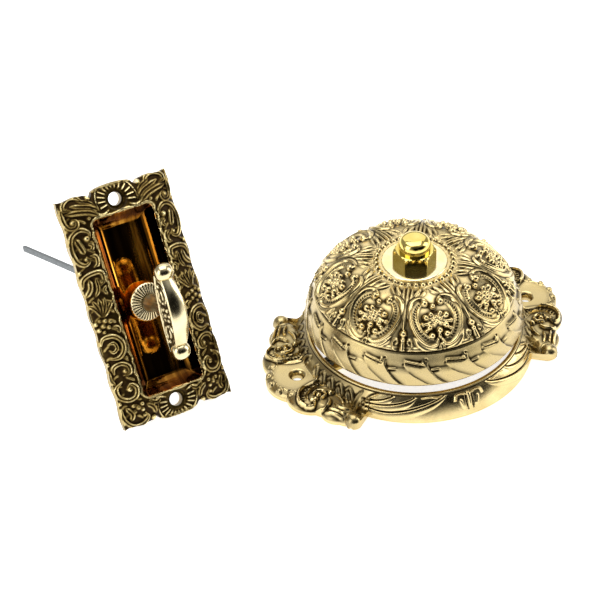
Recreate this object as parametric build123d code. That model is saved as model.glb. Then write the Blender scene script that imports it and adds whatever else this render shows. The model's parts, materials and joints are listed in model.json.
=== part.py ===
from build123d import *
import os
from math import asin, atan2, cos, degrees, hypot, pi, radians, sin, tan

# Mechanical twist doorbell: a turn key on a dished ornamental plate, and a domed bell
# whose train of wheels whirls two loose hammers inside the gong.
# Millimetres. The bell stands on its back at the origin, ears along X, axis along Z.
# The key plate leans beside it on its lower edge and on the tip of its spindle.

# fits between pieces
run_fit = 0.05          # radial play of a turning journal
hole_fit = 0.1          # radial play of a screw or stud in its hole
end_play = 0.3          # axial play of a turning piece
backlash = 0.16         # play between meshing teeth, along the pitch circle
stop_play = 0.3         # room between a stop and what it stops, at the end of the swing

# base ring of the bell
ring_bore = 47.6        # radius of the opening
lip_radius = 49.6       # outer radius of the raised lip
lip_height = 11.9
foot_radius = 55.0
foot_edge = 1.2
ring_wall = 2.6
ear_hole_reach = 59.7   # centre to ear hole
ear_hole = 2.5          # radius
ear_sink = 3.9          # radius of the countersink
ear_height = 4.8
ear_taper = 12.0        # draft of the ear's edge, degrees
ear_tip = 14.5          # radius of the ear's tip, round the hole
ear_lobes = [(58.0, 12.5, 12.2), (52.5, 27.0, 8.0), (50.5, 32.0, 5.5)]  # reach, offset and radius, each side
ear_web = (46.0, 34.0, 59.0, 22.0)  # corners of the flat between the lobes
ear_dish = 9.0          # radius of the flat round the hole
ear_dish_depth = 0.5
ear_bead = 1.6          # radius of the beads along the ear's edge
ear_bead_circle = 12.8
ear_bead_count = 7
ear_bead_swing = 75.0   # degrees each way from the ear's tip
corner_ball = 3.8
corner_place = (50.2, 37.5, 2.7)
cartouche_place = (57.4, 16.6)
cartouche_radius = 6.9
cartouche_rib = 1.2
cartouche_flower = 3.0  # radius of the flower's ring of balls
cartouche_ball = 1.45
ring_leaf_rise = 0.9
ring_leaf_width = 1.9
# leaf lines on the flange: where each is lowest, how far down there, and where it meets the lip;
# angles in degrees from the point midway between the ears
ring_leaves = [(42.0, 8.0, 11.2), (46.0, 5.8, 26.4), (50.0, 4.4, 37.4)]
ring_leaf_start = 52.0
lug_width = 10.0
lug_height = 3.0
lug_beyond_screw = 3.0

# gong
gong_rim_radius = 49.8
gong_rim_height = 17.6
gong_groove_radius = 45.1
gong_groove_height = 32.8
gong_groove_depth = 0.7
gong_top = 48.6
gong_flat = 14.9        # radius of the turned flat under the cap nut
gong_crown = [(22.0, 48.0), (30.0, 46.3), (37.6, 41.6)]
gong_wall = 2.6
medal_count = 8
medal_turn = -102.3     # direction of the first medallion, degrees
medal_reach = 34.6      # radius of a medallion's centre
medal_frame = 11.6      # outer radius of the frame
medal_drop = 10.0       # degrees that a medallion leans past the crown's chord
medal_band = 1.6
medal_rise = 0.9
flower_ball = 1.7
flower_ring = 4.2
flower_low = -3.0       # the flower sits low in its frame
stalk_reach = 24.0      # leaves between the medallions
stalk_length = 9.0
stalk_width = 4.6
skirt_leaves = 16       # pairs of slanted leaves round the skirt
skirt_leaf_rise = 0.7
skirt_leaf_slant = 9.6  # how far a leaf runs round while it falls to the rim
skirt_leaf_share = 0.42 # a leaf's width, as a share of its pair's pitch
skirt_margin = 1.2      # bare edge above the rim

# mechanism frame
bridge_bottom = lug_height
bridge_thick = 1.6
bridge_width = 9.0
bridge_boss = 15.0
bridge_arm = 14.0       # width towards the idler
bridge_eye = 7.0        # radius round the idler's arbor
bridge_spoke = 9.2      # width of the arms to the pillars
bridge_end = 3.4        # from a screw to the bridge's end
bridge_play = 0.2       # between the bridge's end and the ring
screw_radius = 1.45
screw_head = 2.7
screw_head_height = 1.7
front_bottom = 12.0
front_thick = 1.6
front_boss = 9.0
front_spoke = 7.6
pillar_radius = 2.5
pillar_tenon = 1.4
pillar_reach = 22.5
pillar_angles = [200.0, 340.0]
far_pillar_reach = 29.5

# wheels
tooth_module = 0.8
wheel_teeth = 36
pinion_teeth = 12
tooth_root = 1.15       # depth of a tooth below the pitch circle, in modules
tooth_tip = 0.9         # height above it
wheel_root_share = 0.74 # a tooth's width at its root, as a share of the tooth space
pinion_root_share = 0.6
tip_share = 0.2
wheel_thick = 1.6
wheel_hole = 2.2
wheel_hole_circle = 9.4
hub_journal = 5.0
hub_shoulder = 7.0
hub_neck = 3.0
hub_back = 0.2
hub_nose = 1.0
clip_thick = 0.6
clip_depth = 0.6
clip_width = 1.8
arbor_radius = 1.2      # idler arbor in the back bridge
arbor_body = 2.0        # and between the bridges
pinion_low = 6.6
pinion_length = 2.6
driver_swing = 40.0     # each way
stop_pin = 1.0
stop_circle = 11.8
stop_length = 1.6

# gong post and striker
post_radius = 4.0
post_journal = 2.4
post_tenon = 2.0
post_shoulder = 20.6
sleeve_radius = 3.4
sleeve_flange = 1.6
arm_thick = 1.2
arm_width = 6.0
arm_boss = 2.6          # how far the arm's boss stands out round the sleeve
arm_gap = 1.2           # from the idler wheel to the arm
hammer_length = 11.1    # pin to tip
hammer_pin = 1.2
hammer_pin_head = 1.0
hammer_eye = 3.0
hammer_neck = 4.8
hammer_head = 4.2
hammer_gap = 0.38       # left to the gong when a hammer stands straight out
hammer_thick = 4.0
seat_nut_flats = 13.0
seat_nut_height = 4.0
seat_washer_thick = 0.9
seat_washer_radius = 8.0

# cap nut
cap_flats = 17.0
cap_hex_height = 6.6
cap_dome = 7.2          # radius
cap_dome_share = 0.88   # height of the dome's round end, as a share of its radius
cap_height = 13.0
cap_turn = -24.0        # direction of a corner, degrees

# return spring
spring_wire = 0.4
spring_width = 1.4
spring_inner = 3.9
spring_pitch = 1.5
spring_turns = 4.0
spring_end = 200.0      # direction of its outer end
anchor_radius = 0.8

# key plate
plate_width = 52.0
plate_height = 106.0
plate_rim = 3.2         # thickness at the outer edge
plate_crest = 8.8       # height of the lip round the dish
plate_wall = 1.6
plate_border = 11.7     # plate's long edge to the dish
plate_end_border = 12.5 # plate's end to the dish
dish_slope = 6.2        # how far the dish's sides run in
dish_corner = 2.0
plate_hole = 3.0
plate_hole_inset = 6.5  # screw hole to the plate's end
plate_hole_seat = 4.4   # radius of the flat for the screw head
plate_hole_thick = 4.4
plate_scallops = 6      # shallow waves along a long edge
plate_scallop = 0.5
shell_radius = 9.4      # scallop shells at the plate's two ends
shell_rise = 1.4
shell_rays = 9
shell_ray = 0.9
shell_squash = 0.72     # height of the fan to its width
corner_tip = (0.5, 2.0) # how far the pointed corners run out, sideways and endways
scroll_rib = 0.85       # radius of the raised scrolls
# scrolls down one border, from its top: distance from the middle of the long border, height, radius and the two angles
# between which a scroll runs
scrolls = [
    (-1.6, 46.0, 3.4, 20, 250), (-1.2, 31.2, 4.2, -40, 190), (-0.4, 15.6, 3.4, 150, 380),
    (-0.6, -14.8, 3.9, -120, 130), (0.0, -25.8, 2.9, -60, 180), (-0.8, -35.4, 3.6, 160, 420), (-1.4, -46.6, 3.6, 100, 330),
]
spray_leaves = 5
spray_leaf = 1.0

# where the plate stands beside the bell
plate_foot_x = -116.8
plate_foot_y = 4.0
plate_turn = 2.05       # degrees about Z

# turn key
key_tilt = 13.7         # how far the loose key leans in its hole at rest
key_tilt_toward = -58.6 # direction of that lean, from the plate's width
stem_radius = 3.0
stem_play = 0.15        # room left round the leaning stem
rosette_radius = 8.8
rosette_height = 3.4    # above the dish floor, along the key
rosette_thick = 1.8
rosette_flutes = 24
grip_centre = 27.4      # from the dish floor to the middle of the grip
grip_length = 44.0
grip_width = 8.4
grip_thick = 8.0
grip_bow = 5.0
grip_ball = 4.3
spindle_length = 127.0  # from the dish floor to the tip
spindle_wide = 2.6
spindle_thick = 1.6
spindle_seat = 8.0      # how far it reaches into the key, from the dish floor
hub_slot_play = 0.25
key_washer_radius = 6.0
key_washer_thick = 1.0
key_pin_radius = 0.8
key_pin_length = 8.0

# derived places
bridge_top = bridge_bottom + bridge_thick
front_top = front_bottom + front_thick
screw_reach = ring_bore - bridge_play - bridge_end
lug_reach = screw_reach - lug_beyond_screw
wheel_pitch = tooth_module * wheel_teeth / 2
pinion_pitch = tooth_module * pinion_teeth / 2
idler_y = wheel_pitch + pinion_pitch
driver_low = pinion_low + (pinion_length - wheel_thick) / 2
idler_low = front_top + 1.0
gong_slope = atan2(gong_rim_radius - gong_groove_radius, gong_groove_height - gong_rim_height)
inner_rim = gong_rim_radius - gong_wall / cos(gong_slope)
gong_under = gong_top - gong_wall
arm_low = idler_low + wheel_thick + arm_gap
hammer_low = arm_low + arm_thick + end_play
hammer_high = hammer_low + hammer_thick
seat_washer_low = gong_under - seat_washer_thick
seat_nut_low = seat_washer_low - seat_nut_height
inner_groove = gong_groove_radius - gong_wall
inner_slope = (inner_rim - inner_groove) / (gong_groove_height - gong_rim_height)
hammer_tip = inner_rim - inner_slope * (hammer_high - gong_rim_height) - hammer_gap
hammer_reach = hammer_tip - hammer_length
dish_width = plate_width - 2 * plate_border
dish_height = plate_height - 2 * plate_end_border
plate_hole_reach = plate_height / 2 - plate_hole_inset


def rod(radius, low, high, x=0.0, y=0.0):
    bar = Cylinder(radius, high - low, align=(Align.CENTER, Align.CENTER, Align.MIN))
    return Pos(x, y, low) * bar


def ring(outer, inner, low, high, x=0.0, y=0.0):
    return rod(outer, low, high, x, y) - rod(inner, low - 1, high + 1, x, y)


def block(x_size, y_size, low, high, x=0.0, y=0.0):
    bar = Box(x_size, y_size, high - low, align=(Align.CENTER, Align.CENTER, Align.MIN))
    return Pos(x, y, low) * bar


def turned(points):
    outline = Polyline(*[(r, 0, z) for r, z in points], close=True)
    return revolve(make_face(outline), Axis.Z)


def hexagon(across_flats, low, high):
    return Pos(0, 0, low) * extrude(RegularPolygon(across_flats / 2, 6, major_radius=False), high - low)


def around(count, piece, start=0.0):
    return [Rot(0, 0, start + 360 * k / count) * piece for k in range(count)]


def polar(radius, angle):
    return radius * cos(radians(angle)), radius * sin(radians(angle))


def gear(teeth, low, thick, phase=0.0):
    """Spur gear with straight-sided teeth, one tooth pointing along the phase angle."""
    pitch = tooth_module * teeth / 2
    root_share = wheel_root_share if teeth == wheel_teeth else pinion_root_share
    levels = [
        (pitch - tooth_root * tooth_module, root_share),
        (pitch, 0.5),
        (pitch + tooth_tip * tooth_module, tip_share),
    ]
    space = pi * tooth_module
    points = []
    for k in range(teeth):
        centre = radians(phase) + 2 * pi * k / teeth
        for side in (-1, 1):
            flank = levels if side < 0 else levels[::-1]
            for radius, share in flank:
                width = space * share - backlash
                angle = centre + side * width / 2 / radius
                points.append((radius * cos(angle), radius * sin(angle)))
    return Pos(0, 0, low) * extrude(make_face(Polyline(*points, close=True)), thick)


def gong_outline(grow=0.0):
    """Outer curve of the gong from its flat to its rim, pushed out by grow."""
    crown = [(gong_flat + 0.6, gong_top - 0.5 + grow)]
    crown += [(r + grow * 0.3, z + grow * 0.9) for r, z in gong_crown]
    crown += [(gong_groove_radius + grow, gong_groove_height + 0.6 + grow * 0.3)]
    return crown


def gong_body(grow, with_skirt=True):
    """Solid of the gong's outer form."""
    crown = [Vector(r, 0, z) for r, z in gong_outline(grow)]
    top = gong_top + (grow if grow else 0)
    lines = [
        Line((0, 0, top), (gong_flat, 0, top)),
        Line((gong_flat, 0, top), crown[0]),
        Spline(*crown),
    ]
    if with_skirt:
        groove = Vector(gong_groove_radius - gong_groove_depth, 0, gong_groove_height)
        start = Vector(gong_groove_radius + 0.3 + grow, 0, gong_groove_height - 0.8)
        rim = Vector(gong_rim_radius + grow, 0, gong_rim_height)
        middle = (start + rim) / 2 + Vector(0.5, 0, 0.15)
        lines += [Line(crown[-1], groove), Line(groove, start), ThreePointArc(start, middle, rim)]
        end = rim
    else:
        end = crown[-1]
    lines += [Line(end, (0, 0, end.Z)), Line((0, 0, end.Z), (0, 0, top))]
    return revolve(make_face(Curve() + lines), Axis.Z)


def flange_body(grow=0.0):
    """Ring from its bore to the outside of its sloping flange, pushed out by grow."""
    lip_foot = Vector(lip_radius + 0.9 + grow, 0, lip_height - 1.6)
    shoulder = Vector(lip_radius + 3.6 + grow, 0, lip_height - 3.8 + grow * 0.5)
    foot = Vector(foot_radius + grow, 0, foot_edge)
    outline = Curve() + [
        Line((ring_bore, 0, 0), (ring_bore, 0, lip_height)),
        Line((ring_bore, 0, lip_height), (lip_radius, 0, lip_height)),
        Line((lip_radius, 0, lip_height), lip_foot),
        Spline(lip_foot, shoulder, foot),
        Line(foot, (foot.X, 0, 0)),
        Line((foot.X, 0, 0), (ring_bore, 0, 0)),
    ]
    return revolve(make_face(outline), Axis.Z)


def ring_leaf(low_angle, depth, lip_angle, side):
    """Plan of one leaf line that runs from an ear up the flange to the lip."""
    points = []
    for k in range(5):
        angle = ring_leaf_start + (lip_angle - ring_leaf_start) * k / 4
        down = depth * (1 - (min(angle - low_angle, 0.0) / (low_angle - lip_angle)) ** 2)
        reach = lip_radius + (foot_radius - lip_radius) * down / lip_height
        points.append(polar(reach + ring_leaf_width / 2, 270 + side * angle))
    return trace(Spline(*points), ring_leaf_width)


def cartouche():
    """Flower in an open frame, beside the hole of the right ear."""
    x, y = cartouche_place
    rib = revolve(Pos(cartouche_radius, 0, 0) * Rot(90, 0, 0) * Circle(cartouche_rib), Axis.Z, 250)
    piece = Part() + Pos(x, y, ear_height) * Rot(0, 0, 145) * rib
    for angle in (145, 395):
        dx, dy = polar(cartouche_radius, angle)
        piece += Pos(x + dx, y + dy, ear_height) * Sphere(cartouche_rib * 1.4)
    for k in range(6):
        dx, dy = polar(cartouche_flower, 60 * k)
        piece += Pos(x + dx, y + dy, ear_height) * Sphere(cartouche_ball)
    return piece + Pos(x, y, ear_height + 0.4) * Sphere(cartouche_ball * 1.1)


def ear():
    """Right ear: flat with lobed edge, dished round its hole."""
    lobes = [(ear_hole_reach, 0.0, ear_tip)]
    lobes += [(x, side * y, r) for x, y, r in ear_lobes for side in (1, -1)]
    body = Part() + [extrude(Pos(x, y) * Circle(r), ear_height, taper=ear_taper) for x, y, r in lobes]
    x_in, y_in, x_out, y_out = ear_web
    web = Polyline((x_in, -y_in), (x_out, -y_out), (x_out, y_out), (x_in, y_in), close=True)
    body += extrude(make_face(web), ear_height)
    for k in range(ear_bead_count):
        angle = ear_bead_swing * (2 * k / (ear_bead_count - 1) - 1)
        x, y = polar(ear_bead_circle, angle)
        body += Pos(ear_hole_reach + x, y, ear_height - 0.5) * Sphere(ear_bead)
    flower = cartouche()
    body += flower
    body += mirror(flower, Plane.XZ)
    x, y, z = corner_place
    for side in (1, -1):
        body += Pos(x, side * y, z) * Sphere(corner_ball)
    return body - rod(ear_dish, ear_height - ear_dish_depth, ear_height + 4, ear_hole_reach)


def base_ring():
    body = flange_body()
    hollow = turned([
        (ring_bore + ring_wall, -1), (foot_radius - ring_wall, -1),
        (foot_radius - ring_wall, 3.0), (ring_bore + ring_wall + 1.0, lip_height - 2 * ring_wall),
        (ring_bore + ring_wall, lip_height - 2 * ring_wall),
    ])
    keep_out = rod(ring_bore, -1, lip_height + 1)
    right_ear = ear() - keep_out
    for turn in (0, 180):
        body += Rot(0, 0, turn) * right_ear
    body -= Pos(0, 0, -20) * Box(200, 200, 40)
    band = flange_body(ring_leaf_rise) - rod(lip_radius + 0.4, -1, lip_height + 1)
    for side in (1, -1):
        for line in ring_leaves:
            strip = band & extrude(ring_leaf(*line, side), lip_height)
            for turn in (0, 180):
                body += Rot(0, 0, turn) * strip
    body -= hollow
    for side in (-1, 1):
        centre = (lug_reach + ring_bore + 1) / 2
        body += block(ring_bore + 1 - lug_reach, lug_width, 0, lug_height, side * centre)
        body -= rod(screw_radius + hole_fit, -1, lug_height + 1, side * screw_reach)
        hole_x = side * ear_hole_reach
        sink_top = ear_height - ear_dish_depth
        body -= rod(ear_hole, -1, ear_height + 1, hole_x)
        body -= Pos(hole_x, 0, sink_top) * Rot(180, 0, 0) * Cone(
            ear_sink, ear_hole, ear_sink - ear_hole, align=(Align.CENTER, Align.CENTER, Align.MIN))
    return body


def skirt_leaf():
    """Outline of one slanted leaf on the skirt, pushed out through it along X."""
    pitch = 2 * pi * gong_rim_radius / skirt_leaves
    width = pitch * skirt_leaf_share
    low = gong_rim_height + skirt_margin
    high = gong_groove_height - 2 * skirt_margin
    near = Spline((0, 0, high), (skirt_leaf_slant * 0.3, 0, (low + high) / 2), (skirt_leaf_slant, 0, low))
    far = Spline((width, 0, high - 0.6), (width + skirt_leaf_slant * 0.3, 0, (low + high) / 2),
                 (width * 0.9 + skirt_leaf_slant, 0, low))
    outline = Curve() + [near, Line(near @ 1, far @ 1), far, Line(far @ 0, near @ 0)]
    standing = extrude(make_face(outline), gong_rim_radius, dir=(0, -1, 0))
    return Rot(0, 0, 90) * standing


def gong():
    body = gong_body(0.0)
    inner = [
        (0, gong_rim_height - 1), (inner_rim + 0.3, gong_rim_height - 1), (inner_rim, gong_rim_height),
        (inner_groove, gong_groove_height), (gong_crown[2][0] - 1.6, gong_crown[2][1] - gong_wall),
        (gong_crown[1][0] - 1.5, gong_crown[1][1] - gong_wall - 0.3), (gong_crown[0][0] - 2.0, gong_under - 0.9),
        (seat_washer_radius + 2, gong_under), (0, gong_under),
    ]
    body -= turned(inner)
    body -= rod(post_radius + hole_fit, gong_under - 1, gong_top + 1)
    band = gong_body(medal_rise, with_skirt=False) - gong_body(-0.5, with_skirt=False)
    (r_out, z_out), (r_in, z_in) = gong_crown[2], gong_crown[1]
    lean = degrees(atan2(z_in - z_out, r_out - r_in))
    medal_high = z_in - (medal_reach - r_in) * (z_in - z_out) / (r_out - r_in) + 1.0
    place = Pos(medal_reach, 0, medal_high) * Rot(0, lean + medal_drop, 0)
    frame = band & (place * ring(medal_frame, medal_frame - medal_band, -8, 8))
    leaf = band & (Pos(stalk_reach, 0, z_out) * extrude(Ellipse(stalk_length / 2, stalk_width / 2), gong_top))
    flower = Part() + [place * Pos(-flower_low, 0, 0) * Pos(*polar(flower_ring, a), 0.1) * Sphere(flower_ball)
                       for a in range(30, 390, 60)]
    flower += place * Pos(-flower_low, 0, 0.3) * Sphere(flower_ball * 1.15)
    body += around(medal_count, frame, medal_turn)
    body += around(medal_count, leaf, medal_turn + 180 / medal_count)
    body += around(medal_count, flower, medal_turn)
    skirt = gong_body(skirt_leaf_rise) - gong_body(-0.4)
    panel = skirt & skirt_leaf()
    pitch = 360 / skirt_leaves
    body += around(skirt_leaves, panel, medal_turn)
    body += around(skirt_leaves, panel, medal_turn + pitch / 2)
    return body


def back_bridge():
    y_far = idler_y
    plate = Rectangle(2 * (screw_reach + bridge_end), bridge_width) + Circle(bridge_boss)
    plate += Pos(0, y_far / 2) * Rectangle(bridge_arm, y_far)
    plate += Pos(0, y_far) * Circle(bridge_eye)
    plate += Pos(0, far_pillar_reach) * Circle(bridge_spoke / 2)
    plate += Pos(0, (y_far + far_pillar_reach) / 2) * Rectangle(bridge_spoke, far_pillar_reach - y_far)
    for angle in pillar_angles:
        x, y = polar(pillar_reach, angle)
        plate += Pos(x, y) * Circle(bridge_spoke / 2)
        plate += Pos(x / 2, y / 2) * Rot(0, 0, angle) * Rectangle(pillar_reach, bridge_spoke)
    plate -= Circle(hub_journal + run_fit)
    plate -= Pos(0, idler_y) * Circle(arbor_radius + run_fit)
    for x in (-screw_reach, screw_reach):
        plate -= Pos(x, 0) * Circle(screw_radius + hole_fit)
    for x, y in pillar_places():
        plate -= Pos(x, y) * Circle(pillar_tenon)
    return Pos(0, 0, bridge_bottom) * extrude(plate, bridge_thick)


def pillar_places():
    return [polar(pillar_reach, a) for a in pillar_angles] + [(0.0, far_pillar_reach)]


def front_bridge():
    plate = Circle(front_boss)
    for x, y in pillar_places():
        reach = hypot(x, y)
        angle = degrees(atan2(y, x))
        plate += Pos(x, y) * Circle(front_spoke / 2)
        plate += Pos(x / 2, y / 2) * Rot(0, 0, angle) * Rectangle(reach, front_spoke)
    plate -= Circle(post_tenon)
    plate -= Pos(0, idler_y) * Circle(arbor_body + run_fit)
    for x, y in pillar_places():
        plate -= Pos(x, y) * Circle(pillar_tenon)
    return Pos(0, 0, front_bottom) * extrude(plate, front_thick)


def pillar(x, y):
    body = rod(pillar_radius, bridge_top, front_bottom, x, y)
    return body + rod(pillar_tenon, bridge_bottom, front_top, x, y)


def bridge_screw(x):
    head = rod(screw_head, bridge_top, bridge_top + screw_head_height, x)
    head = fillet(head.faces().sort_by(Axis.Z)[-1].edges(), 0.7)
    head -= block(2 * screw_head + 1, 0.7, bridge_top + screw_head_height - 0.8, bridge_top + 3, x)
    return head + rod(screw_radius, 0.4, bridge_top, x)


def driver_hub():
    shoulder_low = bridge_top + end_play
    neck_low = driver_low + wheel_thick
    neck_high = front_bottom - end_play
    body = rod(hub_journal, hub_back, shoulder_low)
    body += rod(hub_shoulder, shoulder_low, driver_low)
    body += rod(hub_journal, driver_low, neck_low)
    body += rod(hub_neck, neck_low, neck_high)
    body += rod(hub_nose, neck_high, front_top - end_play)
    wide = spindle_wide + 2 * hub_slot_play
    thick = spindle_thick + 2 * hub_slot_play
    body -= block(thick, wide, hub_back - 1, neck_high - 1.5)
    groove_low = bridge_bottom - end_play - clip_thick
    return body - ring(hub_journal + 1, hub_journal - clip_depth, groove_low, groove_low + clip_thick)


def hub_clip():
    low = bridge_bottom - end_play - clip_thick
    clip = ring(hub_journal - clip_depth + clip_width, hub_journal - clip_depth, low, low + clip_thick)
    return clip - block(hub_journal, 2 * hub_journal, low - 1, low + 2, 0, -hub_journal - 1)


def toothed_wheel(low, bore):
    wheel = gear(wheel_teeth, low, wheel_thick) - rod(bore, low - 1, low + wheel_thick + 1)
    for hole in around(5, rod(wheel_hole, low - 1, low + wheel_thick + 1, wheel_hole_circle), 90):
        wheel -= hole
    return wheel


def driver_wheel():
    return toothed_wheel(driver_low, hub_journal)


def driver_stop():
    x, y = polar(stop_circle, 270)
    low = driver_low + wheel_thick
    return rod(stop_pin, low, low + stop_length, x, y)


def stop_stud(side):
    """Stud under the front bridge that the driver's pin meets at the end of its swing."""
    meet = 2 * degrees(asin((stop_pin + stop_play / 2) / stop_circle))
    x, y = polar(stop_circle, 270 + side * (driver_swing + meet))
    return rod(stop_pin, driver_low + wheel_thick + end_play, front_bottom, x, y)


def idler_pinion():
    body = Pos(0, idler_y) * gear(pinion_teeth, pinion_low, pinion_length, 180 / pinion_teeth)
    body += rod(arbor_body, bridge_top + end_play, idler_low + wheel_thick, 0, idler_y)
    return body + rod(arbor_radius, bridge_bottom, bridge_top + end_play, 0, idler_y)


def idler_wheel():
    return Pos(0, idler_y) * toothed_wheel(idler_low, arbor_body)


def gong_post():
    body = rod(post_tenon, front_bottom, front_top)
    body += rod(post_journal, front_top, post_shoulder)
    body += rod(post_radius, post_shoulder, gong_top + cap_hex_height)
    return body - rod(hub_nose + run_fit, front_bottom - 1, front_top)


def striker_hub():
    low = front_top + end_play
    body = rod(sleeve_radius, low, arm_low)
    body += gear(pinion_teeth, idler_low - 0.4, wheel_thick + 0.8, 180 / pinion_teeth)
    body += rod(sleeve_radius + sleeve_flange, idler_low + wheel_thick + 0.4, arm_low)
    body += rod(sleeve_radius, arm_low, post_shoulder - end_play)
    return body - rod(post_journal + run_fit, low - 1, post_shoulder)


def striker_arm():
    bar = Rectangle(2 * hammer_reach, arm_width) + Circle(sleeve_radius + arm_boss)
    for x in (-hammer_reach, hammer_reach):
        bar += Pos(x, 0) * Circle(arm_width / 2)
        bar -= Pos(x, 0) * Circle(hammer_pin)
    bar -= Circle(sleeve_radius)
    return Pos(0, 0, arm_low) * extrude(bar, arm_thick)


def hammer_post(side):
    x = side * hammer_reach
    top = hammer_high + end_play
    return rod(hammer_pin, arm_low, top, x) + rod(hammer_pin + hammer_pin_head, top, top + 0.7, x)


def hammer(side):
    head_x = hammer_tip - hammer_head
    neck = Rectangle(head_x - hammer_reach, hammer_neck)
    shape = Pos(hammer_reach, 0) * Circle(hammer_eye)
    shape += Pos(head_x, 0) * Circle(hammer_head)
    shape += Pos((hammer_reach + head_x) / 2, 0) * neck
    shape -= Pos(hammer_reach, 0) * Circle(hammer_pin + run_fit)
    body = Pos(0, 0, hammer_low) * extrude(shape, hammer_thick)
    return Rot(0, 0, 0 if side > 0 else 180) * body


def seat_nut():
    return hexagon(seat_nut_flats, seat_nut_low, seat_washer_low) - rod(post_radius, seat_nut_low - 1, gong_top)


def seat_washer():
    return ring(seat_washer_radius, post_radius + hole_fit, seat_washer_low, gong_under)


def cap_nut():
    top = gong_top + cap_height
    hex_top = gong_top + cap_hex_height
    body = hexagon(cap_flats, gong_top, hex_top)
    chamfer_cone = turned([(0, gong_top - 1), (cap_flats, gong_top - 1), (cap_flats / 2 + 2.6, hex_top - 1.6),
                           (cap_flats / 2 - 0.4, hex_top), (0, hex_top)])
    body &= chamfer_cone
    neck_top = top - cap_dome * cap_dome_share
    dome = rod(cap_dome, hex_top - 0.2, neck_top)
    dome += Pos(0, 0, neck_top) * (Sphere(cap_dome) & Box(40, 40, 2 * cap_dome * cap_dome_share))
    body += fillet(dome.faces().sort_by(Axis.Z)[-1].edges(), 1.2)
    body -= rod(post_radius, gong_top - 1, hex_top)
    return Rot(0, 0, cap_turn) * body


def return_spring():
    """Flat spiral from the hub's neck out to its anchor stud."""
    low = driver_low + wheel_thick + 0.7
    steps = 12
    points = []
    for k in range(int(spring_turns * steps) + 1):
        points.append(polar(spring_inner + spring_pitch * k / steps, 360 * k / steps + spring_end))
    strip = trace(Spline(*points), spring_wire)
    return Pos(0, 0, low) * extrude(strip, spring_width)


def spring_anchor():
    reach = spring_inner + spring_pitch * spring_turns + spring_wire / 2 + anchor_radius
    return rod(anchor_radius, driver_low + wheel_thick + end_play, front_bottom, *polar(reach, spring_end))


# key plate: modelled flat, back face on z = 0, then leaned into place
def dish_loft(floor, crest):
    low = RectangleRounded(dish_width - 2 * dish_slope, dish_height - 2 * dish_slope, dish_corner)
    high = RectangleRounded(dish_width, dish_height, dish_corner)
    return loft([Pos(0, 0, floor) * low, Pos(0, 0, crest) * high])


def plate_edge():
    """Quarter of the plate's outline, from the top of its shell round to the middle of a long edge."""
    half_wide, half_high = plate_width / 2, plate_height / 2
    tip = (half_wide + corner_tip[0], half_high + corner_tip[1])
    shell_end = (shell_radius, half_high - shell_rise)
    inner_corner = (half_wide - 3.4, half_high - 0.2)
    lines = [
        ThreePointArc((0, half_high + shell_rise), (shell_radius * 0.7, half_high + shell_rise * 0.4), shell_end),
        ThreePointArc(shell_end, ((shell_end[0] + inner_corner[0]) / 2, half_high + 0.7), inner_corner),
        ThreePointArc(inner_corner, (half_wide - 1.4, half_high + 0.3), tip),
        ThreePointArc(tip, (half_wide - 0.2, half_high - 1.0), (half_wide, half_high - 3.4)),
    ]
    step = 2 * (half_high - 3.4) / plate_scallops
    for k in range(plate_scallops // 2):
        high = half_high - 3.4 - k * step
        lines.append(ThreePointArc((half_wide, high), (half_wide + plate_scallop, high - step / 2), (half_wide, high - step)))
    return lines


def plate_outline():
    quarter = plate_edge()
    lines = list(quarter)
    for line in quarter:
        right = mirror(line, Plane.XZ)
        lines += [right, mirror(line, Plane.YZ), mirror(right, Plane.YZ)]
    return make_face(Curve() + lines)


def border_height(x):
    """Height of the sloping border at this distance from the plate's middle."""
    share = (plate_width / 2 - abs(x)) / (plate_border - 0.5)
    return plate_rim + (plate_crest - plate_rim) * share


def scroll(radius, start, end):
    rib = revolve(Pos(radius, 0, 0) * Rot(90, 0, 0) * Circle(scroll_rib), Axis.Z, end - start)
    piece = Rot(0, 0, start) * rib
    for angle in (start, end):
        piece += Pos(*polar(radius, angle), 0) * Sphere(scroll_rib * 1.5)
    return piece


def border_carving():
    """Scrolls and a spray of leaves down the right border."""
    middle = plate_width / 2 - plate_border / 2
    slope = degrees(atan2(plate_crest - plate_rim, plate_border - 0.5))
    carving = Part()
    for x, y, radius, start, end in scrolls:
        place = Pos(middle - x, y, border_height(middle - x)) * Rot(0, slope, 0)
        carving += place * scroll(radius, 180 - end, 180 - start)
    place = Pos(middle, 0, border_height(middle)) * Rot(0, slope, 0)
    for k in range(spray_leaves):
        angle = 90 + 26 * (k - (spray_leaves - 1) / 2)
        leaf = Rot(0, 0, angle) * Pos(3.6, 0, 0) * Rot(0, 90, 0) * Cone(spray_leaf * 1.2, spray_leaf * 0.5, 6.4)
        carving += place * leaf
    return carving + place * Pos(0, -1.6, 0) * Sphere(spray_leaf * 1.7)


def shell():
    """Fluted shell beyond the upper screw hole."""
    piece = Part()
    for k in range(shell_rays):
        angle = 180 * k / (shell_rays - 1)
        inner, outer = plate_hole_seat + 0.5, shell_radius - 0.8
        dx, dy = polar((inner + outer) / 2, angle)
        ray = Rot(0, 0, angle) * Rot(0, 90, 0) * Cylinder(shell_ray, outer - inner)
        piece += Pos(dx, plate_hole_reach + dy * shell_squash, plate_rim + 1.5 - 0.12 * dy) * ray
    return piece


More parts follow.
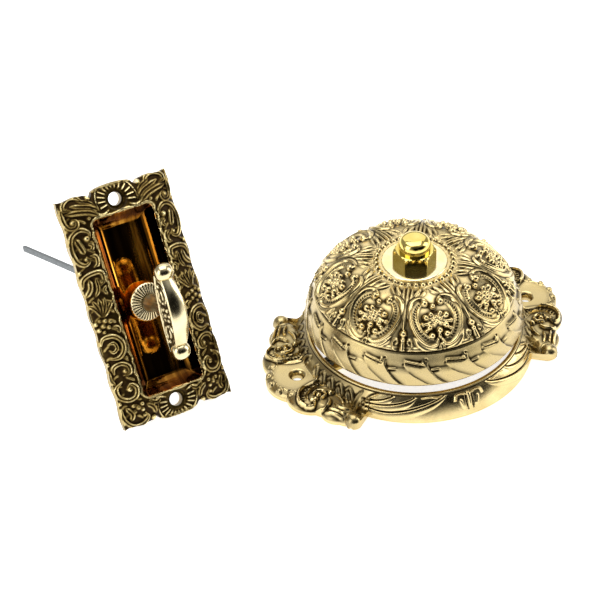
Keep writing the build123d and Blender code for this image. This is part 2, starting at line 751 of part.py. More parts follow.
def face_plate():
    body = extrude(plate_outline(), plate_rim)
    low = Pos(0, 0, plate_rim) * RectangleRounded(plate_width - 1.0, plate_height - 3.0, dish_corner)
    high = Pos(0, 0, plate_crest) * RectangleRounded(dish_width + 2.0, dish_height + 2.0, dish_corner)
    body += loft([low, high])
    carving = border_carving()
    body += carving
    body += mirror(carving, Plane.YZ)
    ends = shell()
    body += ends
    body += mirror(ends, Plane.XZ)
    body -= Pos(0, 0, -20) * Box(2 * plate_height, 2 * plate_height, 40)
    body -= dish_loft(plate_wall, plate_crest + 2.0)
    for y in (-plate_hole_reach, plate_hole_reach):
        body -= rod(plate_hole, -1, plate_crest + 2, 0, y)
        body -= rod(plate_hole_seat, plate_hole_thick, plate_crest + 2, 0, y)
    body -= rod(stem_hole_radius(), -1, plate_wall + 1)
    return body


def stem_hole_radius():
    lean = radians(key_tilt)
    return stem_radius / cos(lean) + plate_wall / 2 * tan(lean) + stem_play


# the key: modelled upright on z, dish floor's middle at z = 0, grip along y
def key_grip():
    half = grip_length / 2 - grip_ball
    front = grip_centre + grip_thick / 2
    back = grip_centre - grip_thick / 2
    band = Curve() + [
        ThreePointArc((0, -half, front - grip_bow), (0, 0, front), (0, half, front - grip_bow)),
        Line((0, half, front - grip_bow), (0, half, back - 1)),
        ThreePointArc((0, half, back - 1), (0, 0, back + 1.5), (0, -half, back - 1)),
        Line((0, -half, back - 1), (0, -half, front - grip_bow)),
    ]
    body = extrude(make_face(band), grip_width / 2, both=True, dir=(1, 0, 0))
    for side in (-1, 1):
        roll = Pos(0, side * half, grip_centre - 1.2) * Rot(0, 90, 0) * Cylinder(grip_ball, grip_width)
        body += fillet(roll.edges(), 0.9)
    return body


def washer_high():
    return -plate_wall - (key_washer_radius + plate_wall / 2) * tan(radians(key_tilt)) - 0.2


def pin_height():
    return washer_high() - key_washer_thick - end_play - key_pin_radius


def pin_hole():
    return Pos(0, 0, pin_height()) * Rot(0, 90, 0) * Cylinder(key_pin_radius, 4 * stem_radius)


def turn_key():
    back = pin_height() - 2.5
    collar = stem_radius + 1.2
    body = key_grip()
    body += turned([(0, 0), (stem_radius, 0), (stem_radius, rosette_height), (collar, rosette_height + 2.5),
                    (3.0, grip_centre - grip_thick), (3.6, grip_centre - grip_thick / 2), (0, grip_centre)])
    body += rod(stem_radius, back, 0.1)
    body -= block(spindle_thick, spindle_wide, back - 1, spindle_seat)
    return body - pin_hole()


def rosette():
    low, high = rosette_height, rosette_height + rosette_thick
    body = turned([(0, low - 0.6), (5.0, low - 0.6), (rosette_radius, low), (rosette_radius, low + 0.6),
                   (rosette_radius - 0.8, low + 1.3), (0, high + 0.9)])
    body -= turned([(0, -5), (stem_radius, -5), (stem_radius, rosette_height), (stem_radius + 1.2, rosette_height + 2.5),
                    (stem_radius + 1.2, 20), (0, 20)])
    flute = Pos(5.2, 0, high + 0.55) * Rot(0, 100, 0) * Cone(0.1, 0.55, rosette_radius)
    for cut in around(rosette_flutes, flute):
        body -= cut
    return body


def spindle():
    return block(spindle_thick, spindle_wide, -spindle_length, spindle_seat) - pin_hole()


def key_washer():
    return ring(key_washer_radius, stem_radius + run_fit, washer_high() - key_washer_thick, washer_high())


def key_pin():
    return Pos(0, 0, pin_height()) * Rot(0, 90, 0) * Cylinder(key_pin_radius, key_pin_length)


def leaned(angle):
    """Place of the plate when it leans at this angle, foot on the table."""
    foot = Pos(plate_foot_x, plate_foot_y, 0) * Rot(0, 0, plate_turn)
    return foot * Rot(angle, 0, 0) * Pos(0, plate_height / 2 + corner_tip[1], 0)


def key_on(place):
    """Place of the key, leaning in its hole about the middle of the dish's wall."""
    pivot = place * Pos(0, 0, plate_wall / 2)
    lean_way = Rot(0, 0, key_tilt_toward) * Rot(0, key_tilt, 0) * Rot(0, 0, -key_tilt_toward)
    return pivot * lean_way * Pos(0, 0, plate_wall / 2)


def tip_height(angle):
    corners = [(x, y) for x in (-spindle_thick / 2, spindle_thick / 2) for y in (-spindle_wide / 2, spindle_wide / 2)]
    places = [key_on(leaned(angle)) * Pos(x, y, -spindle_length) for x, y in corners]
    return min(place.position.Z for place in places)


def resting_lean():
    """The lean, in degrees, that brings the spindle's tip down on the table."""
    low, high = 30.0, 85.0
    for _ in range(40):
        middle = (low + high) / 2
        if tip_height(middle) > 0:
            low, high = low, middle
        else:
            low, high = middle, high
    return (low + high) / 2


plate_place = leaned(resting_lean())
key_place = key_on(plate_place)

pieces = {
    "base_ring": base_ring(),
    "gong": gong(),
    "cap_nut": cap_nut(),
    "back_bridge": back_bridge(),
    "bridge_screws": Part() + [bridge_screw(x) for x in (-screw_reach, screw_reach)],
    "front_bridge": front_bridge(),
    "driver_hub": driver_hub(),
    "hub_clip": hub_clip(),
    "driver_wheel": driver_wheel(),
    "driver_stop": driver_stop(),
    "stop_studs": Part() + [stop_stud(side) for side in (-1, 1)],
    "idler_pinion": idler_pinion(),
    "idler_wheel": idler_wheel(),
    "gong_post": gong_post(),
    "striker_hub": striker_hub(),
    "striker_arm": striker_arm(),
    "seat_nut": seat_nut(),
    "seat_washer": seat_washer(),
    "return_spring": return_spring(),
    "spring_anchor": spring_anchor(),
    "face_plate": plate_place * face_plate(),
    "turn_key": key_place * turn_key(),
    "rosette": key_place * rosette(),
    "spindle": key_place * spindle(),
    "key_washer": key_place * key_washer(),
    "key_pin": key_place * key_pin(),
}
for number, (x, y) in enumerate(pillar_places(), 1):
    pieces[f"pillar_{number}"] = pillar(x, y)
for name, side in (("right", 1), ("left", -1)):
    pieces[f"hammer_{name}"] = hammer(side)
    pieces[f"hammer_pin_{name}"] = hammer_post(side)

os.makedirs("parts", exist_ok=True)
for name, piece in pieces.items():
    export_step(piece, f"parts/{name}.step")
    box = piece.bounding_box()
    print(f"{name:18s} {piece.volume:10.1f} mm3  {box.min.X:7.2f} {box.min.Y:7.2f} {box.min.Z:7.2f}"
          f"  {box.max.X:7.2f} {box.max.Y:7.2f} {box.max.Z:7.2f}")
print(f"plate leans {resting_lean():.2f} degrees, tip {tip_height(resting_lean()):.3f} mm above the table")
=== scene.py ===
import bpy
import bmesh
import json
import math
import numpy as np
from mathutils import Matrix, Vector


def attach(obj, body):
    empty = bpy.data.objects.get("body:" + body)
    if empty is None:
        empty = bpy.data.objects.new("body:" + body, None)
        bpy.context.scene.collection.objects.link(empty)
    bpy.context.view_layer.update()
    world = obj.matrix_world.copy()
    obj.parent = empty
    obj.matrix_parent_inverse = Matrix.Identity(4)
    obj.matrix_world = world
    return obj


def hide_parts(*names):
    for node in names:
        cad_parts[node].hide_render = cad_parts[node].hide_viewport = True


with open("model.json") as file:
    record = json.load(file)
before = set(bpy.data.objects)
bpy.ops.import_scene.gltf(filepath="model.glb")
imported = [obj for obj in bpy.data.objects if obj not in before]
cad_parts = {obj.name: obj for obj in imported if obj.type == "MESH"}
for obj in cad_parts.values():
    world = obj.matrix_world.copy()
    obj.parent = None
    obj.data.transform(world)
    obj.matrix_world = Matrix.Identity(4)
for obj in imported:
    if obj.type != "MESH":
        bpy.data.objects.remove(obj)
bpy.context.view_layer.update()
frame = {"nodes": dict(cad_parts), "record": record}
mm = 0.001
print("frame loaded")


# how large each surface's pattern is, in millimetres; a buffed hairline is about 0.05 mm wide and the
# mould's sand about 0.2 mm, too fine to show at this distance, so those are drawn coarser
patternSizes = {
    "patinaPatch": 11.1,     # thicker and thinner patina on the bell and the key
    "castGrain": 1.11,       # sand of the mould under the hand polish
    "buffCloud": 6.25,       # broad cloudiness of buffed brass
    "buffHairline": 0.714,
    "steelSkin": 1.43,
    "platePatch": 6.67,      # patina on the plate
    "plateGrain": 1.0,
    "brushStreak": 2.38,     # streaks of the polish in the dish
    "brushBand": 9.09,
}


def scaleOf(pattern):
    return 1 / (patternSizes[pattern] * mm)


def fromHex(code):
    # picked sRGB colour to the linear values that Blender's sockets take
    parts = [int(code[i:i + 2], 16) / 255 for i in (1, 3, 5)]
    return [c / 12.92 if c <= 0.04045 else ((c + 0.055) / 1.055) ** 2.4 for c in parts] + [1.0]


def addNode(tree, kind, links=None, out=0, stops=None, **settings):
    # kind: the type without ShaderNode; links: input name or number -> output socket, number or hex colour;
    # stops: places and colours of a colour ramp
    node = tree.nodes.new("ShaderNode" + kind)
    for key, value in settings.items():
        setattr(node, key, value)
    for key, value in (links or {}).items():
        if isinstance(value, bpy.types.NodeSocket):
            tree.links.new(value, node.inputs[key])
        else:
            node.inputs[key].default_value = fromHex(value) if isinstance(value, str) else value
    if stops:
        band = node.color_ramp.elements
        while len(band) < len(stops):
            band.new(0.5)
        for element, (place, colour) in zip(band, stops):
            element.position = place
            element.color = fromHex(colour) if isinstance(colour, str) else colour
    return node.outputs[out] if node.outputs else None


def newMaterial(name):
    material = bpy.data.materials.new(name)
    material.use_nodes = True
    tree = material.node_tree
    shader = tree.nodes["Principled BSDF"]
    return material, tree, shader


def wireMetal(tree, shader, colour, rough, bump=None):
    # bare metal takes its colour, roughness and fine bump from its nodes
    shader.inputs["Metallic"].default_value = 1.0
    tree.links.new(colour, shader.inputs["Base Color"])
    tree.links.new(rough, shader.inputs["Roughness"])
    if bump is not None:
        tree.links.new(bump, shader.inputs["Normal"])


def patinatedBrass(name, bright, dull, dark, rough, patinaAndShadeLow, patinaAndShadeHigh, scratch):
    # cast brass, polished by hand: dark old patina stays in the hollows with painted shade, ridges are rubbed
    # bright
    material, tree, shader = newMaterial(name)
    place = addNode(tree, "NewGeometry", out="Position")
    cloud = addNode(tree, "TexNoise", {"Vector": place, "Scale": scaleOf("patinaPatch"), "Detail": 4.0})
    fine = addNode(tree, "TexNoise", {"Vector": place, "Scale": scaleOf("castGrain"), "Detail": 6.0})
    # darkness from the mesh: old patina and painted shade together
    patinaAndShade = addNode(tree, "Attribute", out="Fac", attribute_name="patinaAndShade")
    spread = addNode(tree, "Math", {0: cloud, 1: -0.5}, operation="ADD")
    wear = addNode(tree, "Math", {0: spread, 1: 0.35, 2: patinaAndShade}, operation="MULTIPLY_ADD")
    amount = addNode(tree, "MapRange", {"Value": wear, "From Min": patinaAndShadeLow, "From Max": patinaAndShadeHigh})
    metal = addNode(tree, "ValToRGB", {"Fac": cloud}, stops=[(0.35, dull), (0.62, bright)])
    colour = addNode(tree, "Mix", {0: amount, 6: metal, 7: dark}, out=2, data_type="RGBA")
    roughness = addNode(tree, "MapRange", {"Value": amount, "To Min": rough, "To Max": rough + 0.22})
    grain = addNode(tree, "Math", {0: fine, 1: 0.10, 2: roughness}, operation="MULTIPLY_ADD")
    bump = addNode(tree, "Bump", {"Strength": scratch, "Distance": 0.06 * mm, "Height": fine})
    wireMetal(tree, shader, colour, grain, bump)
    return material


def polishedBrass(name, bright, deep, rough):
    # buffed brass without relief: broad clear reflections, faint cloudiness and hairlines
    material, tree, shader = newMaterial(name)
    place = addNode(tree, "NewGeometry", out="Position")
    cloud = addNode(tree, "TexNoise", {"Vector": place, "Scale": scaleOf("buffCloud"), "Detail": 3.0})
    fine = addNode(tree, "TexNoise", {"Vector": place, "Scale": scaleOf("buffHairline"), "Detail": 5.0})
    colour = addNode(tree, "ValToRGB", {"Fac": cloud}, stops=[(0.35, deep), (0.65, bright)])
    grain = addNode(tree, "MapRange", {"Value": fine, "To Min": rough, "To Max": rough + 0.08})
    bump = addNode(tree, "Bump", {"Strength": 0.12, "Distance": 0.04 * mm, "Height": fine})
    wireMetal(tree, shader, colour, grain, bump)
    return material


def drawnSteel(name, colour, deep, rough):
    # drawn steel: a dull grey skin, finely mottled
    material, tree, shader = newMaterial(name)
    place = addNode(tree, "TexCoord", out="Object")
    skin = addNode(tree, "TexNoise", {"Vector": place, "Scale": scaleOf("steelSkin"), "Detail": 5.0})
    grey = addNode(tree, "ValToRGB", {"Fac": skin}, stops=[(0.3, deep), (0.7, colour)])
    grain = addNode(tree, "MapRange", {"Value": skin, "To Min": rough, "To Max": rough + 0.15})
    wireMetal(tree, shader, grey, grain)
    return material


class Relief:
    # a height map in millimetres over a flat patch
    def __init__(self, left, right, low, high, cell=0.1):
        self.left, self.low, self.cell = left, low, cell
        self.wide = int(round((right - left) / cell)) + 1
        self.tall = int(round((high - low) / cell)) + 1
        self.height = np.zeros((self.tall, self.wide), np.float32)
        self.x = left + cell * np.arange(self.wide, dtype=np.float32)
        self.y = low + cell * np.arange(self.tall, dtype=np.float32)

    def window(self, x, y, reach):
        i0 = max(int((x - reach - self.left) / self.cell), 0)
        i1 = min(int((x + reach - self.left) / self.cell) + 2, self.wide)
        j0 = max(int((y - reach - self.low) / self.cell), 0)
        j1 = min(int((y + reach - self.low) / self.cell) + 2, self.tall)
        return i0, i1, j0, j1

    def stamp(self, x, y, radius, rise, power=0.5):
        i0, i1, j0, j1 = self.window(x, y, radius)
        if i0 >= i1 or j0 >= j1:
            return
        away = ((self.x[None, i0:i1] - x) ** 2 + (self.y[j0:j1, None] - y) ** 2) / radius ** 2
        bump = rise * np.clip(1 - away, 0, 1) ** power
        patch = self.height[j0:j1, i0:i1]
        if rise > 0:
            np.maximum(patch, bump, out=patch)
        else:
            np.minimum(patch, bump, out=patch)

    def ball(self, x, y, radius, rise=None):
        self.stamp(x, y, radius, radius * 0.9 if rise is None else rise)

    def stroke(self, points, width, rise, start=0.35, end=0.35, power=0.6):
        # start and end: share of the full width left at the two ends
        path = smoothPath(points, self.cell * 1.2)
        count = len(path)
        for k, (x, y) in enumerate(path):
            t = k / max(count - 1, 1)
            full = min(1.0, start + (1 - start) * t * 5, end + (1 - end) * (1 - t) * 5)
            self.stamp(x, y, width / 2 * full, rise * (0.4 + 0.6 * full), power)

    def pad(self, x, y, longHalf, shortHalf, angle, rise, power=0.6):
        i0, i1, j0, j1 = self.window(x, y, longHalf)
        if i0 >= i1 or j0 >= j1:
            return
        dx = self.x[None, i0:i1] - x
        dy = self.y[j0:j1, None] - y
        c, s = math.cos(math.radians(angle)), math.sin(math.radians(angle))
        away = ((dx * c + dy * s) / longHalf) ** 2 + ((dy * c - dx * s) / shortHalf) ** 2
        patch = self.height[j0:j1, i0:i1]
        np.maximum(patch, rise * np.clip(1 - away, 0, 1) ** power, out=patch)

    def soften(self, reach):
        self.height = blurred(self.height, reach / self.cell)

    def sample(self, x, y, grid=None):
        data = self.height if grid is None else grid
        i = (np.asarray(x) - self.left) / self.cell
        j = (np.asarray(y) - self.low) / self.cell
        inside = (i >= 0) & (i < self.wide - 1) & (j >= 0) & (j < self.tall - 1)
        i = np.clip(i, 0, self.wide - 1.001)
        j = np.clip(j, 0, self.tall - 1.001)
        i0, j0 = i.astype(int), j.astype(int)
        fi, fj = i - i0, j - j0
        value = (data[j0, i0] * (1 - fi) * (1 - fj) + data[j0, i0 + 1] * fi * (1 - fj)
                 + data[j0 + 1, i0] * (1 - fi) * fj + data[j0 + 1, i0 + 1] * fi * fj)
        return np.where(inside, value, 0.0)


def smoothPath(points, step):
    # Catmull-Rom curve through the points, sampled evenly
    pts = np.array(points, float)
    if len(pts) == 2:
        fine = np.linspace(pts[0], pts[1], 30)
    else:
        ends = np.vstack([2 * pts[0] - pts[1], pts, 2 * pts[-1] - pts[-2]])
        t = np.linspace(0, 1, 14, endpoint=False)[:, None]
        runs = []
        for a, b, c, d in zip(ends[:-3], ends[1:-2], ends[2:-1], ends[3:]):
            runs.append(0.5 * (2 * b + (c - a) * t + (2 * a - 5 * b + 4 * c - d) * t ** 2
                               + (3 * b - a - 3 * c + d) * t ** 3))
        fine = np.vstack(runs + [pts[-1:]])
    length = np.concatenate([[0], np.cumsum(np.hypot(*np.diff(fine, axis=0).T))])
    places = np.linspace(0, length[-1], max(int(length[-1] / step), 2) + 1)
    return np.column_stack([np.interp(places, length, fine[:, k]) for k in (0, 1)])


def blurred(grid, reach):
    # three box blurs, close to a Gaussian
    size = max(int(round(reach)), 1)
    for axis in (0, 1):
        for _ in range(3):
            edge = [(size, size) if k == axis else (0, 0) for k in (0, 1)]
            total = np.cumsum(np.pad(grid, edge, mode="edge"), axis=axis, dtype=np.float64)
            upper = np.take(total, range(2 * size, total.shape[axis]), axis=axis)
            lower = np.take(total, range(0, total.shape[axis] - 2 * size), axis=axis)
            grid = ((upper - lower) / (2 * size)).astype(np.float32)
    return grid


def hollows(relief, reach=1.1, depth=0.45, ground=0.0):
    # old patina and painted shade gather where a point lies under its surroundings, 0 to 1; ground: how much
    # a level place has
    return np.clip(ground + (blurred(relief.height, reach / relief.cell) - relief.height) / depth, 0, 1)


def addObject(name, data):
    thing = bpy.data.objects.new(name, data)
    bpy.context.scene.collection.objects.link(thing)
    return thing


def meshPiece(name, points, faces, patinaAndShade, body, material):
    # points in millimetres; darkness of each: 0 rubbed bright to 1 full of old patina and painted shade
    mesh = bpy.data.meshes.new(name)
    mesh.from_pydata((points.reshape(-1, 3) * mm).tolist(), [], faces)
    mark = mesh.attributes.new("patinaAndShade", "FLOAT", "POINT")
    mark.data.foreach_set("value", np.asarray(patinaAndShade, np.float32).ravel())
    mesh.polygons.foreach_set("use_smooth", [True] * len(mesh.polygons))
    mesh.update()
    mesh.materials.append(material)
    piece = addObject(name, mesh)
    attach(piece, body)
    return piece


def gridMesh(name, points, patinaAndShade, body, material, capFaces=()):
    # points: rows x columns x 3, each row closed round
    rows, columns = points.shape[:2]
    row = np.arange(rows - 1)[:, None] * columns
    column = np.arange(columns)[None, :]
    after = (column + 1) % columns
    quads = np.stack([row + column, row + after, row + columns + after, row + columns + column], -1)
    return meshPiece(name, points, quads.reshape(-1, 4).tolist() + list(capFaces), patinaAndShade, body, material)


def sharpenEdges(piece, limit):
    bm = bmesh.new()
    bm.from_mesh(piece.data)
    bmesh.ops.recalc_face_normals(bm, faces=bm.faces)
    for edge in bm.edges:
        edge.smooth = edge.calc_face_angle(0) < limit
    bm.to_mesh(piece.data)
    bm.free()


def revolveNormals(profile):
    # outward normals of an (r, z) profile that runs from the crown outwards
    along = np.gradient(profile, axis=0)
    normal = np.column_stack([-along[:, 1], along[:, 0]])
    return normal / np.linalg.norm(normal, axis=1, keepdims=True)


bellBrass = patinatedBrass("cast_brass_hand_polished", bright="#E0CA93", dull="#CCB67E", dark="#2C210E",
                           rough=0.15, patinaAndShadeLow=0.16, patinaAndShadeHigh=0.74, scratch=0.25)
keyBrass = patinatedBrass("worn_polished_brass", bright="#EBDDB2", dull="#D2C196", dark="#3C2E14",
                          rough=0.12, patinaAndShadeLow=0.25, patinaAndShadeHigh=0.8, scratch=0.2)
flatBrass = polishedBrass("lathe_turned_brass", bright="#FAEDC0", deep="#F1DFA6", rough=0.10)
nutBrass = polishedBrass("buffed_yellow_brass", bright="#EAD682", deep="#DEC56A", rough=0.05)
worksBrass = polishedBrass("machined_satin_brass", bright="#D9BF74", deep="#C8AC60", rough=0.28)
steel = drawnSteel("drawn_grey_steel", colour="#7E8385", deep="#5C6062", rough=0.42)
print("materials ready")


gongSizes = {
    "bore": 4.1,
    "flat": 14.9,            # radius of the turned flat
    "flatTop": 48.6,
    "crown": [(14.9, 48.15), (22.0, 47.9), (30.0, 46.2), (37.6, 41.5), (45.1, 33.4)],
    "groove": (44.4, 32.8),
    "skirt": [(45.4, 32.0), (48.1, 25.2), (49.8, 17.6)],
    "inside": [(47.3, 17.3), (47.0, 17.6), (44.6, 26.0), (42.0, 33.0), (36.0, 39.2), (28.5, 43.3),
               (20.0, 45.2), (10.0, 46.0), (4.1, 46.0)],
    "medals": 8,
    "turn": -102.3,          # first medallion, degrees
    "medalPlace": 37.4,      # its distance from the axis, along the surface
    "leaves": 16,
    "beltRadius": 47.4,      # middle of the belt of leaves
    "beads": 34,
    "beadPlace": (17.3, 1.2),   # distance of the beads along the surface, radius of one
    "columns": 864,
    "step": 0.34,            # between two rows of points
}


def medallionRelief():
    # framed flower: x runs round the gong, y down its side
    relief, pits = Relief(-17, 17, -20, 17), Relief(-17, 17, -20, 17)
    track = [(5.2, -9.0), (7.6, -6.9), (9.4, -3.0), (9.6, 1.0), (8.2, 5.4), (5.6, 8.0), (3.0, 9.2)]
    outerRib = [(2.4, -8.8), (3.4, -10.3), (6.0, -10.5), (9.2, -8.0), (11.1, -3.6), (11.5, 0.6), (10.2, 5.4),
                (7.4, 9.2), (4.2, 10.9), (1.8, 10.5), (1.0, 8.4)]
    innerRib = [(5.0, -7.4), (7.2, -4.8), (8.1, -1.0), (7.7, 3.0), (5.9, 6.2), (3.2, 8.1)]
    knobs = [(4.5, -1.5, 1.5), (6.4, 1.4, 1.0), (3.7, 2.8, 1.4), (2.1, -2.9, 1.2), (5.4, 4.4, 0.9)]
    for flip in (1, -1):
        def put(points, width, rise, start=0.35, end=0.35, power=0.6):
            relief.stroke([(flip * x, y) for x, y in points], width, rise, start, end, power)
        # flat track between the two ribs, with a row of small pits
        put(track, 4.0, 0.4, 0.9, 0.6, 0.25)
        put(outerRib, 1.9, 1.4, 0.7, 0.6)
        put(innerRib, 0.95, 1.1, 0.6, 0.6)
        for k in range(15):
            angle = math.radians(-50 + k * 7.6)
            pits.stamp(flip * 9.65 * math.cos(angle), 9.65 * math.sin(angle), 0.5, 0.8)
        # knobs of the flower and their short stems
        for x, y, r in knobs:
            put([(0.35 * x, 0.35 * y + 0.4), (x, y)], 1.5, 0.9, 0.7, 1.0)
            relief.ball(flip * x, y, r, r * 1.25)
        for x, y, r in ((1.5, -0.3, 0.95), (1.3, 1.7, 0.9)):
            relief.ball(flip * x, y, r, r + 0.7)
        # curled ends of the frame
        relief.ball(flip * 3.6, -8.2, 1.65, 2.0)
        relief.ball(flip * 3.3, 6.5, 1.5, 1.9)
        # smooth crescent under the frame
        put([(11.2, 7.0), (9.0, 10.6), (5.6, 12.7), (1.9, 13.2)], 2.7, 1.0, 0.15, 0.6)
        # arch that meets the next medallion's
        put([(0, -18.2), (3.4, -15.8), (7.2, -12.8), (10.8, -9.4)], 1.25, 0.7, 0.6, 0.2)
        put([(0, -15.9), (3.6, -13.8), (6.8, -11.6)], 0.8, 0.45)
    # mound under the flower and its middle knobs
    relief.pad(0, 0.3, 4.6, 3.6, 0, 0.9)
    for x, y, r in ((-0.4, -6.4, 1.35), (0.4, 4.5, 1.5), (0, 0.6, 1.1), (0, -1.3, 1.2)):
        relief.ball(x, y, r, r * 1.1 + 0.5)
    relief.stroke([(0, 5.6), (0.3, 7.6)], 1.6, 1.0, 0.9, 0.5)
    relief.stroke([(-0.6, 13.8), (-0.5, 11.4), (0.4, 10.4), (1.1, 11.4), (1.0, 13.6)], 0.8, 1.0, 0.8, 0.6)
    relief.height -= pits.height
    relief.soften(0.13)
    return relief


def stalkRelief():
    # stalk between two medallions: a fluted fan above, a ball, an urn and two C scrolls at its foot
    relief = Relief(-9, 9, -21, 17)
    relief.stroke([(0, 3.4), (0, -2), (0, -7), (0, -12)], 1.9, 0.8, 0.7, 1.0)
    relief.stroke([(0, -5), (0, -11), (0, -18.4)], 1.5, 1.15, 0.4, 0.5)
    flutes = [([(0.7, 0.0), (1.2, -6.0), (1.7, -12.0), (1.9, -18.0)], 1.5),
              ([(1.2, -4.0), (2.6, -9.6), (4.2, -13.6), (4.9, -17.8)], 2.3),
              ([(1.8, -6.0), (4.4, -10.4), (6.6, -13.4), (7.8, -16.6)], 1.9)]
    scroll = [(0.8, 13.9), (3.0, 13.2), (4.2, 10.9), (3.9, 8.7), (2.7, 8.0), (2.1, 9.1), (2.9, 10.1)]
    for flip in (1, -1):
        for points, width in flutes:
            relief.stroke([(flip * x, y) for x, y in points], width, 0.85, 0.3, 0.35, 0.5)
        relief.stroke([(flip * x, y) for x, y in scroll], 0.85, 1.0, 0.7, 0.8)
    relief.ball(0, 5.5, 1.6, 1.9)
    relief.ball(0, 8.1, 1.15, 1.4)
    relief.stroke([(0, 9.4), (0, 11.2), (0, 13.8)], 2.1, 1.3, 0.9, 0.35)
    relief.soften(0.12)
    return relief


def skirtRelief(period):
    # two overlapping slanted leaves a period: x runs round the gong from the left end of a bar, y down
    # from the groove
    relief, pits = (Relief(-period, 2 * period, -0.5, 17.5) for _ in range(2))
    barLength = 8.0
    x, y = relief.x[None, :], relief.y[:, None]
    place = (x + barLength) % period
    rightEdge = np.interp(y, [0, 6.6, 8.2, 12.0, 15.6, 17.5], [10.2, 10.5, 11.3, 14.0, 18.0, 20.4])
    leftEdge = np.interp(y, [0, 6.4, 7.2, 10.5, 15.0, 17.5], [0.0, 0.0, 0.8, 4.0, 10.4, 14.2])
    firstTop = np.interp(place, [0, 7.6, 8.4, 10.4], [3.0, 4.4, 3.2, 3.4])

    def layLeaf(a, left, right, top, root, low, swell):
        # a leaf rises towards its right edge and fades in at its root
        share = np.clip((a - left) / (right - left), 0, 1)
        shown = (a > left) & (a < right) & (y > top)
        fade = root + (1 - root) * np.clip((y - top) / 3.0, 0, 1)
        rise = (low + swell * share ** 1.5) * fade
        relief.height = np.where(shown, np.maximum(relief.height, rise), relief.height)

    for turn in (-1, 0, 1):
        layLeaf(place + turn * period, leftEdge, rightEdge, firstTop, 0.25, 0.38, 0.42)
        layLeaf(place + turn * period, rightEdge, leftEdge + period, 7.1, 0.2, 0.2, 0.5)
    relief.soften(0.12)
    # bars with a knob over the leaves' tops, and the dark lines under them
    for k in (-1, 0, 1, 2):
        left = k * period - barLength
        relief.stroke([(left + 0.4, 3.9), (left + 7.2, 5.2)], 0.85, 1.15, 0.9, 0.9)
        relief.ball(left + 8.0, 5.1, 0.75, 1.35)
        relief.stroke([(left + 11.9, 7.9), (left + 15.2, 7.7)], 0.9, 1.05, 0.9, 0.9)
        pits.stroke([(left + 0.4, 4.8), (left + 7.2, 6.1), (left + 8.8, 6.0)], 0.45, 0.6, 0.7, 1.0)
        pits.stamp(left + 9.7, 3.4, 0.6, 0.7)
        pits.stroke([(left + 11.7, 8.9), (left + 15.0, 8.7)], 0.45, 0.55, 0.8, 0.8)
        pits.stamp(left - 0.4, 5.4, 0.45, 0.5)
    relief.height -= pits.height
    relief.soften(0.11)
    return relief


def distanceAlong(profile, start):
    return start + np.concatenate([[0], np.cumsum(np.hypot(*np.diff(profile, axis=0).T))])


def fromNearest(angle, count, turn):
    # angle from the nearest of count places round the axis, the first of them at turn degrees
    step = 2 * math.pi / count
    return (angle - math.radians(turn) + step / 2) % step - step / 2


def revolved(profile, angle, lift=None):
    # an (r, z) profile turned about the gong's axis, lifted along its normals
    r, z = (np.repeat(profile[:, k][:, None], len(angle), 1) for k in (0, 1))
    if lift is not None:
        normal = revolveNormals(profile)
        r = r + normal[:, :1] * lift
        z = z + normal[:, 1:] * lift
    return np.stack([r * np.cos(angle), r * np.sin(angle), z], -1)


def buildCrown(angle, groove):
    size = gongSizes
    crown = smoothPath(size["crown"], size["step"])
    s = distanceAlong(crown, size["flat"])
    radius = crown[:, :1]
    # medallions and the stalks between them
    medal, stalk = medallionRelief(), stalkRelief()
    across = fromNearest(angle, size["medals"], size["turn"]) * radius
    between = fromNearest(angle, size["medals"], size["turn"] + 180 / size["medals"]) * radius
    down = np.broadcast_to((s - size["medalPlace"])[:, None], across.shape)
    rise, second = medal.sample(across, down), stalk.sample(between, down)
    rise = np.where(second > 0.05, np.maximum(rise, second), rise)
    # patina and painted shade in the hollows of the medallions and stalks
    medalPatinaAndShade = medal.sample(across, down, hollows(medal, 1.1, 0.62))
    stalkPatinaAndShade = stalk.sample(between, down, hollows(stalk))
    patinaAndShade = 0.12 + 0.88 * np.maximum(medalPatinaAndShade, stalkPatinaAndShade)
    # row of beads round the flat, with patina and painted shade between them
    beadAt, beadSize = size["beadPlace"]
    beadAcross = fromNearest(angle, size["beads"], 0) * radius
    away = np.hypot(beadAcross, (s - beadAt)[:, None]) / beadSize
    bead = beadSize * 0.9 * np.sqrt(np.clip(1 - away ** 2, 0, 1))
    band = np.clip(1.4 - np.abs(s - beadAt) / beadSize, 0, 1)[:, None]
    patinaAndShade = np.where(bead > 0.2, 0.1, np.maximum(patinaAndShade, 0.75 * band))
    rise = np.maximum(rise, bead)
    # rounded lip over the groove; nothing stands up at the edge of the flat
    lip = np.clip(1 - ((s - s[-1] + 0.9) / 0.8) ** 2, 0, 1) ** 0.5
    rise = np.maximum(rise, 0.5 * lip[:, None])
    rise *= np.clip((s - size["flat"]) / 0.5, 0, 1)[:, None]
    points = np.concatenate([revolved(crown, angle, rise), groove])
    # the groove's row is fully dark: painted shade in the crease, with patina
    marks = np.concatenate([patinaAndShade, np.ones((1, len(angle)))])
    dome = gridMesh("gong_crown", points, marks, "frame", bellBrass)
    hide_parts("gong")


